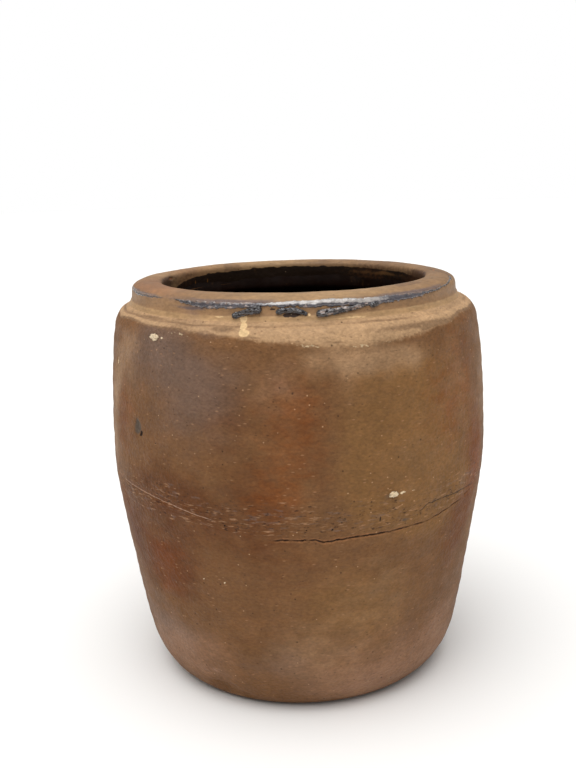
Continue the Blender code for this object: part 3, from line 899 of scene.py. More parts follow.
@dataclass(frozen=True)
class Firing:
    """Where flame, ash, salt and spills left their colours on the clay, with painted shade and light. Each list holds
    the patches of one colour.
    """

    flash: tuple[Patch, ...] = (
        Patch(-90.0, 252.0, 40.0, 50.0, 0.45),
        Patch(-92.0, 222.0, 44.0, 44.0, 0.45),
        Patch(-98.0, 194.0, 40.0, 30.0, 0.45),
        Patch(-40.0, 258.0, 56.0, 74.0, 0.60),
        Patch(-135.0, 127.0, 46.0, 40.0, 0.55),
        Patch(-34.0, 140.0, 36.0, 60.0, 0.35),
        Patch(-158.0, 165.0, 26.0, 52.0, 0.40),
        Patch(-150.0, 232.0, 34.0, 44.0, 0.50),
        Patch(-26.0, 196.0, 34.0, 84.0, 0.80),
        Patch(48.0, 212.0, 90.0, 60.0, 0.80),
        Patch(128.0, 120.0, 80.0, 44.0, 0.75),
        Patch(170.0, 240.0, 60.0, 52.0, 0.60),
    )
    haze: tuple[Patch, ...] = (
        Patch(-118.0, 323.0, 40.0, 12.0, 0.85),
        Patch(-142.0, 58.0, 80.0, 52.0, 0.85),
        Patch(-95.0, 42.0, 70.0, 40.0, 0.40),
        Patch(95.0, 272.0, 120.0, 46.0, 0.85),
        Patch(20.0, 52.0, 80.0, 40.0, 0.45),
        Patch(160.0, 70.0, 90.0, 50.0, 0.70),
    )
    dusk: tuple[Patch, ...] = (
        Patch(-127.0, 284.0, 100.0, 56.0, 1.0),
        Patch(-118.0, 254.0, 60.0, 52.0, 0.55),
        Patch(-130.0, 226.0, 36.0, 40.0, 0.25),
    )
    umber: tuple[Patch, ...] = (
        Patch(-126.0, 172.0, 92.0, 48.0, 0.80),
        Patch(-100.0, 155.0, 60.0, 56.0, 0.50),
        Patch(-152.0, 138.0, 48.0, 62.0, 0.85),
        Patch(-34.0, 176.0, 44.0, 60.0, 0.70),
        Patch(-36.0, 128.0, 44.0, 44.0, 0.50),
        Patch(-114.0, 268.0, 40.0, 40.0, 0.40),
        Patch(-134.0, 126.0, 48.0, 40.0, 0.95),
        Patch(-128.0, 130.0, 60.0, 34.0, 0.40),
        Patch(-112.0, 240.0, 60.0, 60.0, 0.22),
        Patch(-101.0, 192.0, 38.0, 32.0, 0.55),
        Patch(-108.0, 238.0, 34.0, 46.0, 0.30),
        Patch(70.0, 160.0, 110.0, 40.0, 0.60),
        Patch(150.0, 180.0, 80.0, 44.0, 0.50),
    )
    ochre: tuple[Patch, ...] = (
        Patch(-26.0, 168.0, 40.0, 112.0, 1.0),
        Patch(-42.0, 150.0, 30.0, 80.0, 0.45),
        Patch(-156.0, 160.0, 26.0, 70.0, 0.80),
        Patch(-136.0, 128.0, 44.0, 38.0, 0.80),
        Patch(150.0, 130.0, 90.0, 60.0, 0.60),
    )
    olive: tuple[Patch, ...] = (
        Patch(-54.0, 222.0, 86.0, 96.0, 0.90, 0.40),
        Patch(-74.0, 96.0, 88.0, 66.0, 0.85),
        Patch(12.0, 140.0, 92.0, 52.0, 0.60),
        Patch(-22.0, 130.0, 30.0, 90.0, 0.50),
        Patch(88.0, 118.0, 80.0, 46.0, 0.50),
    )
    blush: tuple[Patch, ...] = (
        Patch(-60.0, 36.0, 150.0, 54.0, 0.80),
        Patch(-138.0, 36.0, 110.0, 56.0, 0.75),
        Patch(-95.0, 266.0, 34.0, 50.0, 0.35),
        Patch(-34.0, 44.0, 54.0, 26.0, 0.60),
        Patch(-24.0, 36.0, 30.0, 26.0, 0.50),
        Patch(-122.0, 20.5, 7.0, 4.0, 0.8, 0.7),
        Patch(60.0, 36.0, 90.0, 26.0, 0.70),
        Patch(175.0, 30.0, 80.0, 22.0, 0.60),
        Patch(120.0, 26.0, 110.0, 24.0, 0.50),
    )
    straw: tuple[Patch, ...] = (
        Patch(-74.0, 288.0, 48.0, 26.0, 0.85),
        Patch(-62.0, 294.0, 34.0, 18.0, 0.60),
        Patch(-86.0, 286.0, 22.0, 24.0, 0.40),
        Patch(-58.0, 298.0, 34.0, 14.0, 0.60),
        Patch(-158.0, 268.0, 32.0, 36.0, 0.75),
        Patch(-162.0, 226.0, 26.0, 48.0, 0.60),
        Patch(-150.0, 290.0, 34.0, 26.0, 0.50),
        Patch(-146.0, 266.0, 20.0, 50.0, 0.30),
        Patch(-88.0, 58.0, 70.0, 44.0, 0.40),
        Patch(-66.0, 98.0, 76.0, 72.0, 0.30),
        Patch(-76.0, 268.0, 18.0, 30.0, 0.30),
        Patch(-56.0, 212.0, 50.0, 60.0, 0.16),
        Patch(-40.0, 268.0, 30.0, 60.0, 0.35),
        Patch(-12.0, 250.0, 60.0, 84.0, 0.50),
        Patch(130.0, 290.0, 80.0, 18.0, 0.60),
    )
    cream_and_highlight: tuple[Patch, ...] = (
        Patch(-105.3, 319.4, 3.6, 4.4, 1.0, 0.40),
        Patch(-104.9, 315.4, 3.3, 5.4, 1.0, 0.40),
        Patch(-104.4, 311.2, 4.8, 3.9, 1.0, 0.35),
        Patch(-113.2, 320.2, 6.8, 0.9, 0.75, 0.7),
        Patch(-85.4, 321.6, 1.5, 1.6, 0.8, 0.6),
        # These two long thin patches follow the crest of the roll under the collar: painted highlight.
        Patch(-72.0, 318.4, 26.0, 1.6, 0.55, 0.9),
        Patch(-50.0, 320.6, 30.0, 1.3, 0.40, 0.9),
    )
    # The wider patch lies under the middle run's curl: painted shade over dark red-brown clay.
    pocket_shade: tuple[Patch, ...] = (
        Patch(-96.4, 326.3, 3.0, 1.1, 1.0, 0.5),
        Patch(-90.6, 322.0, 9.0, 2.2, 1.0, 0.35),
    )
    # Painted shade in the pits and in the crater's hole: each patch sits on a knock in Skin.
    pit_shade: tuple[Patch, ...] = (
        Patch(-140.2, 227.4, 2.2, 3.4, 1.0, 0.6),
        Patch(-67.9, 169.5, 0.7, 4.0, 0.8, 0.6),
        Patch(-111.1, 167.7, 1.3, 1.2, 0.9, 0.6),
        Patch(-124.1, 182.6, 1.2, 1.0, 0.7, 0.6),
        Patch(-81.6, 165.7, 2.2, 0.9, 0.8, 0.6),
        Patch(-88.4, 166.2, 1.2, 1.0, 0.8, 0.6),
        Patch(-49.2, 29.7, 1.4, 1.3, 0.9, 0.6),
    )
    ash: tuple[Patch, ...] = (
        Patch(-142.0, 232.0, 5.6, 8.8, 1.0, 0.6),
        Patch(-59.8, 164.8, 6.0, 2.6, 0.7, 0.8),
        Patch(-65.5, 186.2, 7.5, 4.6, 0.35, 0.8),
    )
    lime: tuple[Patch, ...] = (
        Patch(-134.4, 303.6, 6.6, 3.6, 0.9, 0.6),
        Patch(-131.2, 304.0, 4.4, 1.3, 0.70, 0.9),
        Patch(-64.2, 187.2, 6.2, 3.6, 0.8, 0.7),
        Patch(-61.2, 187.6, 4.6, 2.0, 0.8, 0.8),
        Patch(-57.6, 187.0, 4.0, 1.2, 0.6, 0.8),
        Patch(-157.6, 277.0, 3.2, 6.0, 0.7, 0.8),
        Patch(-112.9, 118.6, 1.2, 0.9, 0.9, 0.7),
        Patch(-119.9, 119.5, 1.0, 0.8, 0.9, 0.7),
        Patch(-112.2, 112.8, 0.9, 0.9, 0.9, 0.7),
    )

    def masks(self, azimuth: Array, station: Array, profile: Profile) -> dict[str, Array]:
        """Mask each colour, with borders broken up by drifting lumps.

        Args:
            azimuth: azimuths in radians.
            station: stations in mm.
            profile: the jar's outline.

        Returns:
            By colour, its mask of 0 to 1.
        """
        drift = 13.0 * Grain(61, 58.0, 1.3, 3).at(azimuth, station)
        ragged = 0.5 * Grain(62, 1.6, 1.2, 2).at(azimuth, station)
        found = {}
        for name in ("flash", "haze", "umber", "olive", "dusk", "ochre", "blush", "straw"):
            layers = [p.mask(azimuth, station + drift, profile) for p in getattr(self, name)]
            found[name] = 1.0 - np.prod([1.0 - layer for layer in layers], axis=0)
        for name in ("cream_and_highlight", "pocket_shade", "pit_shade", "ash", "lime"):
            layers = [p.mask(azimuth, station + ragged, profile) for p in getattr(self, name)]
            found[name] = np.max(layers, axis=0)
        found |= self.shoulder(azimuth, station, profile)
        return found

    def shoulder(self, azimuth: Array, station: Array, profile: Profile) -> dict[str, Array]:
        """Return the masks of the ledge's painted light, of painted shade across it, and of the crumbs along its edge.

        The ledge's edge lies at 311.5 mm. Across the front it drops by 11 mm along the outline. Above the edge the
        ledge faces up and is painted lighter, as painted light; the groove and three spots get painted shade, and a
        broken line of painted shadow follows the edge under its lip.

        Args:
            azimuth: azimuths in radians.
            station: stations in mm.
            profile: the jar's outline.

        Returns:
            By colour, its mask.
        """
        front = np.exp(-(turn_between(azimuth, -73.0) / 30.0) ** 2)
        uneven = 1.6 * Grain(63, 14.0, 2.0, 3).at(azimuth, 0.0 * station)
        edge = profile.station(311.5) - 11.0 * front + uneven
        # Painted light: the ledge is lighter where it faces up.
        lit_ledge = smooth(station - edge, -2.6 - 5.0 * front, 3.4)
        lit_ledge = lit_ledge * (1.0 - smooth(station, profile.station(319.8), profile.station(322.6)))
        lit_ledge = lit_ledge * (1.0 - 0.35 * np.exp(-(turn_between(azimuth, -124.0) / 12.0) ** 2))
        # Painted shade: darker along the groove across the ledge, and at three spots near it.
        groove = np.exp(-((station - profile.station(315.4) - 0.8 * uneven) / 2.0) ** 2)
        side = sum(np.exp(-(turn_between(azimuth, at) / wide) ** 2 - ((station - profile.station(high)) / tall) ** 2)
                   for at, high, wide, tall in ((-52.0, 309.8, 17.0, 2.8), (-140.0, 316.2, 8.0, 2.4),
                                                (-111.0, 313.2, 4.5, 3.2)))
        broken = smooth(Grain(65, 9.0, 3.0, 2).at(azimuth, station), -0.2, 0.6)
        front_side = 0.35 + 0.65 * smooth(np.cos(azimuth - np.radians(FRONT)), -0.2, 0.7)
        # Painted shadow: a broken dark line just under the ledge's lip.
        border = np.exp(-((station - edge - 0.6) / 1.3) ** 2)
        border = border * smooth(Grain(66, 7.0, 4.0, 2).at(azimuth, station), -0.3, 0.5)
        return {
            "lit_ledge": lit_ledge,
            "shade": np.maximum(groove * (0.55 + 0.45 * Grain(68, 30.0, 2.0).at(azimuth, station)), side) + border,
            "crumbs": np.exp(-((station - edge + 2.4) / 3.4) ** 2) * broken * front_side,
        }


@dataclass(frozen=True)
class Walls:
    """The clay body: floor slab, two wall rings, the slip between them and the shoulder's ring."""

    skin: Skin
    firing: Firing
    clay: bpy.types.Material
    slip: bpy.types.Material
    columns: int = 720
    slab_radius: float = 99.9
    floor_top: float = 15.9

    def around(self, columns: int | None = None) -> Array:
        """Return evenly spaced azimuths in radians, as one row."""
        count = columns or self.columns
        return (np.arange(count) / count * 2 * np.pi)[None, :]

    def ring(self, name: str, stations: Array, back: Array) -> bpy.types.Object:
        """Build one wall ring from its outer face and the hidden back that the glaze covers.

        Args:
            name: the piece's and its CAD node's name.
            stations: rows x columns of stations in mm, rising up the outside.
            back: (radius, height) pairs in mm, going down the inside.

        Returns:
            The ring.
        """
        azimuth = self.around() + 0.0 * stations
        outer = self.skin.points(azimuth, stations)
        turned = self.around()
        inner = np.stack([back[:, :1] * np.cos(turned), back[:, :1] * np.sin(turned), back[:, 1:] + 0.0 * turned], -1)
        piece = solid(name, np.concatenate([outer, inner]))
        profile = self.skin.form.outside()
        masks = self.firing.masks(azimuth, stations, profile)
        above = self.skin.above_seam(azimuth, stations, profile)
        masks["seam"] = np.abs(above)
        masks["open"] = np.clip(self.skin.opening(azimuth) * 2.4, 0.0, 1.0) + 0.0 * stations
        drift = 6.0 * Grain(72, 30.0, 2.5).at(azimuth, stations)
        masks["dragged"] = smooth(above, 1.0, 4.0) * (1 - smooth(above + drift, 20.0, 66.0))
        for line in ("scratch", "low_scratch", "second_crack"):
            masks[line] = getattr(self.skin, line).offset(azimuth, stations, profile)
            masks[line + "_length"] = getattr(self.skin, line).length(azimuth) + 0.0 * stations
        far = np.full((len(back), self.columns), FAR)
        paint(piece, {key: np.concatenate([value, far if key in LINES else 0.0 * far]) for key, value in masks.items()})
        return seat(piece, name, self.clay)

    def back(self, low: float, high: float, count: int) -> Array:
        """Trace the back of a wall, 0.4 mm behind the glaze.

        Args:
            low: the lowest height in mm.
            high: the highest.
            count: how many pairs.

        Returns:
            The pairs in mm, from the highest down.
        """
        inside = self.skin.form.inside()
        wall = slice(int(np.argmax(inside.radius > 99.0)), None)
        heights = np.linspace(high, low, count)
        radii = np.interp(heights, inside.height[wall], inside.radius[wall]) + 0.4
        return np.column_stack([radii, heights])

    def lower_wall(self) -> bpy.types.Object:
        """Build the first ring. Its rows bend up or down to end on the wandering seam, less half the crack.

        Returns:
            The ring.
        """
        profile = self.skin.form.outside()
        top = profile.station(self.skin.form.seam_height)
        share = np.linspace(0.0, 1.0, 124)[:, None]
        even = top * (1.0 - (1.0 - share) ** 1.22)
        azimuth = self.around()
        edge = self.skin.seam_station(azimuth) - self.skin.opening(azimuth) / 2
        stations = even + (edge - top) * smooth(even, top - 55.0, top)
        back = np.vstack([self.back(20.0, 157.0, 9), [[100.4, self.floor_top], [100.4, 0.0]]])
        return self.ring("lower_wall", stations, back)

    def upper_wall(self) -> bpy.types.Object:
        """Build the second ring, from the crack's upper lip to the shoulder's joint.

        Returns:
            The ring.
        """
        profile = self.skin.form.outside()
        bottom = profile.station(self.skin.form.seam_height)
        top = profile.station(self.skin.form.shoulder_joint)
        share = np.linspace(0.0, 1.0, 118)[:, None]
        even = bottom + (top - bottom) * share**1.22
        azimuth = self.around()
        edge = self.skin.seam_station(azimuth) + self.skin.opening(azimuth) / 2
        stations = even + (edge - bottom) * (1.0 - smooth(even, bottom, bottom + 55.0))
        return self.ring("upper_wall", stations, self.back(159.5, 289.8, 8))

    def shoulder_ring(self) -> bpy.types.Object:
        """Build the shoulder, from its joint to the foot of the collar.

        Returns:
            The ring.
        """
        profile = self.skin.form.outside()
        low, high = profile.station(self.skin.form.shoulder_joint), profile.station(self.skin.form.neck_height)
        stations = np.linspace(low, high, 64)[:, None] + 0.0 * self.around()
        return self.ring("shoulder_ring", stations, self.back(290.2, 317.6, 8))

    def seam_slip(self) -> bpy.types.Object:
        """Build the slip ring, set 2 mm back from the outside so that it shows only at the bottom of the crack.

        Returns:
            The ring.
        """
        azimuth = self.around(540)
        path = self.skin.seam_station(azimuth)
        profile = self.skin.form.outside()
        radius, height, _, _ = profile.at(path)
        rows = []
        for depth, rise in ((1.6, -0.9), (1.9, 0.0), (1.6, 0.9), (13.0, 0.9), (13.0, -0.9)):
            crumbs = 0.4 * Grain(71, 3.0).at(azimuth, rise + 0.0 * azimuth) if depth < 3.0 else 0.0
            r = radius - depth - crumbs
            rows.append(np.stack([r * np.cos(azimuth), r * np.sin(azimuth), height + rise], -1)[0])
        return seat(solid("seam_slip", np.array(rows), crease=80.0), "seam_slip", self.slip)

    def floor_slab(self) -> bpy.types.Object:
        """Build the slab. Its underside keeps the shallow arcs of the wire that cut it off the wheel.

        Returns:
            The slab.
        """
        azimuth = self.around(300)
        radii = np.linspace(3.0, self.slab_radius - 0.8, 56)[:, None]
        x, y = radii * np.cos(azimuth), radii * np.sin(azimuth)
        drift = Grain(81, 40.0).at(azimuth, radii)
        arcs = 0.16 + 0.14 * np.sin(2 * np.pi * np.hypot(x + 120.0, y - 60.0) / 4.2 + drift)
        hollow = 0.8 * (1 - smooth(radii, 20.0, 90.0))
        under = np.stack([x, y, (arcs + hollow) * (1 - smooth(radii, 92.0, 98.0))], -1)
        sides = [(self.slab_radius - 0.3, 0.1), (self.slab_radius, 0.6), (self.slab_radius, self.floor_top),
                 (60.0, self.floor_top), (3.0, self.floor_top)]
        rest = np.array([np.stack([r * np.cos(azimuth[0]), r * np.sin(azimuth[0]), z + 0.0 * azimuth[0]], -1)
                         for r, z in sides])
        tips = (np.array([0.0, 0.0, 0.8]), np.array([0.0, 0.0, self.floor_top]))
        piece = solid("floor_slab", np.concatenate([under, rest]), wrap_rows=False, tips=tips)
        bare = np.zeros((len(under) + len(rest), 300))
        paint(piece, {"blush": bare + 0.8} | {name: bare + FAR for name in LINES})
        return seat(piece, "floor_slab", self.clay)

    def build(self) -> None:
        """Build every piece of the body."""
        self.floor_slab()
        self.lower_wall()
        self.seam_slip()
        self.upper_wall()
        self.shoulder_ring()


@dataclass(frozen=True)
class Throat:
    """Where the dark glaze inside ends under the lip, and the toffee-coloured smears in it."""

    border: tuple[Place, ...] = (
        (-170.0, 319.0), (-140.0, 328.0), (-120.0, 330.6), (-60.0, 331.2), (-20.0, 331.4), (-2.0, 331.4),
        (8.0, 328.2), (16.0, 327.4), (23.0, 327.8), (30.0, 328.8), (44.0, 329.2), (61.0, 330.0), (77.0, 330.6),
        (97.0, 330.5), (110.0, 330.3), (120.0, 329.5), (132.0, 329.4), (142.0, 328.4), (149.0, 326.6),
        (155.0, 325.0), (162.0, 321.0), (171.0, 317.0))

    def edge(self, azimuth: Array) -> Array:
        """Trace the end of the glaze: straight between the border's places, plus lumps.

        Args:
            azimuth: azimuths in radians.

        Returns:
            The height in mm where the glaze ends.
        """
        azimuths, heights = zip(*self.border)
        path = np.interp(np.degrees(azimuth), azimuths, heights, period=360.0)
        return path + 0.7 * Grain(101, 8.0, octaves=3).at(azimuth, 0.0 * azimuth)

    def masks(self, azimuth: Array, height: Array) -> dict[str, Array]:
        """Mask the glaze and its smears.

        Args:
            azimuth: azimuths in radians.
            height: heights in mm.

        Returns:
            The masks of the glaze and of its smears.
        """
        below = self.edge(azimuth) - height
        streaks = smooth(Grain(105, 14.0, 0.6, 4).at(azimuth, height), 0.1, 1.4)
        drift = Grain(106, 12.0, 2.4, 3).at(azimuth, height)
        right = np.exp(-(turn_between(azimuth, 44.0) / 20.0) ** 2 - ((height - 325.6 - drift) / 2.2) ** 2)
        tears = sum(np.exp(-(turn_between(azimuth, at) / 0.55) ** 2 - ((height - 323.0) / 2.6) ** 2)
                    for at in (144.0, 136.0))
        film = 0.35 * streaks * smooth(height, 296.0, 316.0) * (1.0 - smooth(below, 10.0, 40.0))
        return {"throat": smooth(below, -0.7, 1.0),
                "toffee": np.clip(np.maximum(film, right * (0.7 + 0.5 * drift)), 0.0, 1.0),
                "amber": np.clip(tears, 0.0, 1.0)}


@dataclass(frozen=True)
class Ribbon:
    """A strip of glaze along the outer edge of the rim, between a low and a high edge given by places."""

    name: str
    low: tuple[Place, ...]
    high: tuple[Place, ...]
    thick: float  # mm
    ragged: float = 0.5  # mm, how uneven the edges are
    seed: int = 7
    faded: float = 0.0  # how far its colour has sunk into the clay's


@dataclass(frozen=True)
class Run:
    """A rounded run of glaze on the collar: its places, and its half thickness in mm at each of them."""

    name: str
    places: tuple[Place, ...]
    halves: tuple[float, ...]
    squash: float = 0.85  # depth against height
    seed: int = 9
    bright: float = 0.14  # share of painted highlight on its top, and how crusted it is


@dataclass(frozen=True)
class Rim:
    """The collar with its rim, and the dark glaze that has run over its outer edge."""

    skin: Skin
    firing: Firing
    clay: bpy.types.Material
    glaze: bpy.types.Material
    columns: int = 880
    rows: int = 108
    weather: tuple[tuple[str, tuple[tuple[float, float, float], ...]], ...] = (  # azimuth, width, strength
        # darker_patches: the rim top is darker around these azimuths
        ("darker_patches", ((-5.0, 26.0, 0.60), (45.0, 20.0, 0.75), (-152.0, 16.0, 0.20))),
        ("rust", ((-156.0, 26.0, 1.0), (150.0, 14.0, 0.5))),
        ("bleached", ((-84.0, 30.0, 1.0), (105.0, 22.0, 0.95), (168.0, 14.0, 0.4))),
        ("scab", ((4.0, 20.0, 1.0), (50.0, 15.0, 0.45), (174.0, 12.0, 0.9), (150.0, 10.0, 0.35))),
    )
    ribbons: tuple[Ribbon, ...] = (
        Ribbon("glaze_band_side",
               ((-172.0, 331.6), (-164.0, 330.6), (-158.0, 328.6), (-152.0, 329.2), (-145.0, 329.4), (-137.0, 330.6)),
               ((-172.0, 332.2), (-164.0, 332.3), (-158.0, 332.2), (-152.0, 331.9), (-145.0, 331.7), (-137.0, 331.5)),
               0.20, 0.80, 17, 0.35),
        Ribbon("glaze_band_front",
               ((-132.0, 330.6), (-127.0, 328.4), (-120.0, 326.0), (-108.0, 326.4), (-98.0, 327.9), (-88.0, 327.3),
                (-74.0, 326.6), (-66.0, 325.6), (-55.0, 326.5), (-46.0, 327.6), (-36.0, 329.4), (-26.0, 331.2),
                (-17.0, 333.0), (-12.0, 333.8)),
               ((-132.0, 331.4), (-120.0, 331.3), (-108.0, 331.0), (-98.0, 330.8), (-90.0, 332.2), (-78.0, 332.5),
                (-68.0, 331.4), (-55.0, 331.7), (-44.0, 331.0), (-36.0, 330.7), (-26.0, 332.0), (-17.0, 333.5),
                (-12.0, 334.1)),
               0.95, 0.85, 18),
    )
    runs: tuple[Run, ...] = (
        Run("glaze_run_left", ((-99.6, 326.4), (-101.4, 325.9), (-103.6, 324.6), (-106.2, 322.8), (-109.0, 320.9)),
            (2.5, 3.0, 2.2, 1.9, 1.9), seed=91),
        Run("glaze_run_middle", ((-94.9, 322.4), (-94.6, 324.4), (-92.8, 325.5), (-90.0, 325.2), (-87.6, 324.0),
                                 (-85.9, 321.9)), (1.7, 1.9, 1.7, 1.7, 1.6, 1.2), seed=92),
        Run("glaze_run_right", ((-83.4, 321.6), (-81.4, 322.2), (-78.4, 323.2), (-74.6, 324.3), (-70.4, 325.6),
                                (-66.2, 327.2)), (2.4, 2.6, 2.3, 1.9, 1.6, 0.9), seed=93, bright=0.55),
        Run("glaze_bead", ((-66.2, 326.4), (-64.8, 326.0), (-63.0, 327.0)), (1.4, 2.1, 1.5), seed=94),
    )

    def collar(self) -> bpy.types.Object:
        """Build the collar: its cove, side and edge, the rising top, the crest and the throat behind it.

        Returns:
            The collar.
        """
        profile = self.skin.form.outside()
        falling = profile.height[profile.crest :]
        end = float(np.interp(-318.7, -falling, profile.length[profile.crest :]))
        start = profile.station(self.skin.form.neck_height)
        azimuth = (np.arange(self.columns) / self.columns * 2 * np.pi)[None, :]
        stations = np.linspace(start, end, self.rows)[:, None] + 0.0 * azimuth
        piece = solid("rim_collar", self.skin.points(azimuth, stations))
        masks = self.firing.masks(azimuth, stations, profile)
        crest = float(profile.length[profile.crest])
        masks["top"] = smooth(stations, profile.station(329.0), profile.station(333.5))
        around = {name: sum(share * np.exp(-(turn_between(azimuth, at) / wide) ** 2) for at, wide, share in places)
                  for name, places in self.weather}
        # Darker patches on the rim top: random lumps, and broad ones at fixed azimuths.
        darker_patches = smooth(Grain(64, 16.0, 2.6, 4).at(azimuth, stations), 0.2, 1.1)
        masks["darker_patches"] = np.maximum(0.8 * darker_patches, np.clip(around["darker_patches"], 0.0, 1.0)) * masks["top"]
        masks["rust"] = around["rust"] * masks["top"]
        masks["bleached"] = around["bleached"] * masks["top"]
        inner = smooth(stations, crest + 2.0, crest + 4.0)
        _, height, _, _ = profile.at(stations)
        masks |= {name: values * inner for name, values in Throat().masks(azimuth, height).items()}
        bite = np.hypot(turn_between(azimuth, 166.0) / 4.2, (stations - profile.inner_station(331.4)) / 2.0)
        scab = 0.55 * np.exp(-(turn_between(azimuth, 172.0) / 7.5) ** 2
                      - ((stations - profile.inner_station(329.0)) / 2.6) ** 2)
        under = smooth(stations, crest + 4.5, profile.inner_station(331.5))
        masks["scab"] = np.clip(np.maximum(scab, around["scab"] * under), 0.0, 1.0)
        scar = np.hypot(turn_between(azimuth, 0.7) / 1.6, (stations - crest) / 1.1)
        masks["chip"] = np.maximum(1.0 - smooth(scar, 0.6, 1.1), 0.45 * (1.0 - smooth(bite, 0.3, 1.0)))
        smoke = 0.5 * Grain(69, 5.0, 3.5, 3).at(azimuth, stations)
        masks["smoke"] = sum(np.exp(-(turn_between(azimuth, at) / wide) ** 2
                                    - ((stations - profile.station(high) - 1.5 * smoke) / tall) ** 2)
                             for at, high, wide, tall in ((-112.0, 331.0, 20.0, 3.6), (-124.0, 325.5, 7.0, 1.5),
                                                          (-155.0, 331.2, 16.0, 2.2), (-48.0, 331.6, 22.0, 2.6)))
        masks["thread"] = self.thread(azimuth, stations, profile)
        paint(piece, masks)
        return seat(piece, "rim_collar", self.clay)

    def thread(self, azimuth: Array, stations: Array, profile: Profile) -> Array:
        """Mask the thin dark line that carries on from the glaze and crosses the top of the rim.

        Args:
            azimuth: azimuths in radians.
            stations: stations in mm.
            profile: the jar's outline.

        Returns:
            Its mask.
        """
        crest = float(profile.length[profile.crest])
        edge = profile.station(334.0)
        turn = turn_between(azimuth, -12.0)
        path = edge + (crest + 2.0 - edge) * smooth(turn, 0.0, 16.0)
        wander = 0.5 * Grain(67, 4.0, 1.0, 3).at(azimuth, stations)
        near = np.exp(-((stations - path - wander) / 0.75) ** 2)
        return near * smooth(turn, -6.0, 0.0) * (1.0 - smooth(turn, 14.0, 22.0))

    def ribbon(self, ribbon: Ribbon, columns: int = 900, across: int = 18) -> bpy.types.Object:
        """Build a strip of glaze that bulges at its low edge and thins out upwards.

        Across the strip t runs from 0 at the low edge to 1 at the high edge, and the thickness is
        (1 - (1 - t/0.3)^2)^0.5 up to t = 0.3 and then falls as (1 - t)^0.6.

        Args:
            ribbon: the strip's places and thickness.
            columns: points along 120 degrees of it.
            across: points across it.

        Returns:
            The strip.
        """
        profile = self.skin.form.outside()
        start, end = ribbon.low[0][0], ribbon.low[-1][0]
        count = round(columns * (end - start) / 120.0)
        degrees = np.linspace(start, end, count)[:, None]
        azimuth = np.radians(degrees)
        ends = np.clip(np.minimum(degrees - start, end - degrees) / 4.0, 0.0, 1.0) ** 0.5
        frill = ribbon.ragged * Grain(ribbon.seed, 3.2, octaves=3).at(azimuth, 0.0 * azimuth)
        fringe = 0.6 * ribbon.ragged * Grain(ribbon.seed + 50, 2.4, octaves=2).at(azimuth, 0.0 * azimuth)
        low = np.interp(degrees, *zip(*[(a, profile.station(h)) for a, h in ribbon.low])) + frill
        high = np.interp(degrees, *zip(*[(a, profile.station(h)) for a, h in ribbon.high])) + fringe
        middle, half = (low + high) / 2, np.maximum(high - low, 0.5) / 2
        t = np.linspace(1.0, 0.0, across)[None, :]
        bulge = np.sqrt(np.clip(1.0 - (1.0 - np.minimum(t / 0.3, 1.0)) ** 2, 0.0, 1.0))
        thin = np.where(t > 0.3, np.clip((1.0 - t) / 0.7, 0.0, 1.0) ** 0.6, 1.0)
        upper = middle + half * ends * (2 * t - 1)
        lumps = 1.0 + 0.45 * Grain(ribbon.seed + 9, 3.6, 1.3).at(azimuth, upper)
        rise = ribbon.thick * ends * bulge * thin * lumps - 0.06
        face = self.lifted(azimuth + 0.0 * upper, upper, rise, profile)
        back = self.lifted(azimuth + 0.0 * upper, upper, 0.0 * rise - 0.35, profile)[:, ::-1]
        grid = np.concatenate([face, back], axis=1)
        piece = solid(ribbon.name, grid, wrap_rows=False, tips=(grid[0].mean(0), grid[-1].mean(0)), crease=70.0)
        drawn = np.concatenate([t + 0.0 * upper, 0.0 * upper], axis=1)
        steel_and_sheen = smooth(degrees, -150.0, -100.0) * (1.0 - smooth(degrees, -52.0, -30.0)) + 0.0 * drawn
        # The band's front between -108 and -51 degrees gets a painted highlight, standing in for the overhead light's
        # reflection.
        bright = smooth(degrees, -108.0, -90.0) * (1.0 - smooth(degrees, -69.0, -51.0))
        crust = 0.5 * (1.0 - smooth(drawn, 0.30, 0.60)) + 0.0 * drawn
        paint(piece, {"thin": drawn * (1.0 - 0.75 * bright) + ribbon.faded, "steel_and_sheen": steel_and_sheen, "crust": crust,
                      "painted_highlight": bright * smooth(drawn, 0.25, 0.55)})
        return seat(piece, ribbon.name, self.glaze)

    def lifted(self, azimuth: Array, station: Array, rise: Array, profile: Profile) -> Array:
        """Place points that stand a rise above the clay's own surface.

        Args:
            azimuth: azimuths in radians.
            station: stations in mm.
            rise: height in mm above the clay.
            profile: the jar's outline.

        Returns:
            The points in mm.
        """
        radius, height, out_r, out_z = profile.at(station)
        lift = self.skin.relief(azimuth, station, profile) + rise
        r, z = radius + out_r * lift, height + out_z * lift
        return np.stack([r * np.cos(azimuth) + self.skin.form.off_axis(z), r * np.sin(azimuth), z], axis=-1)

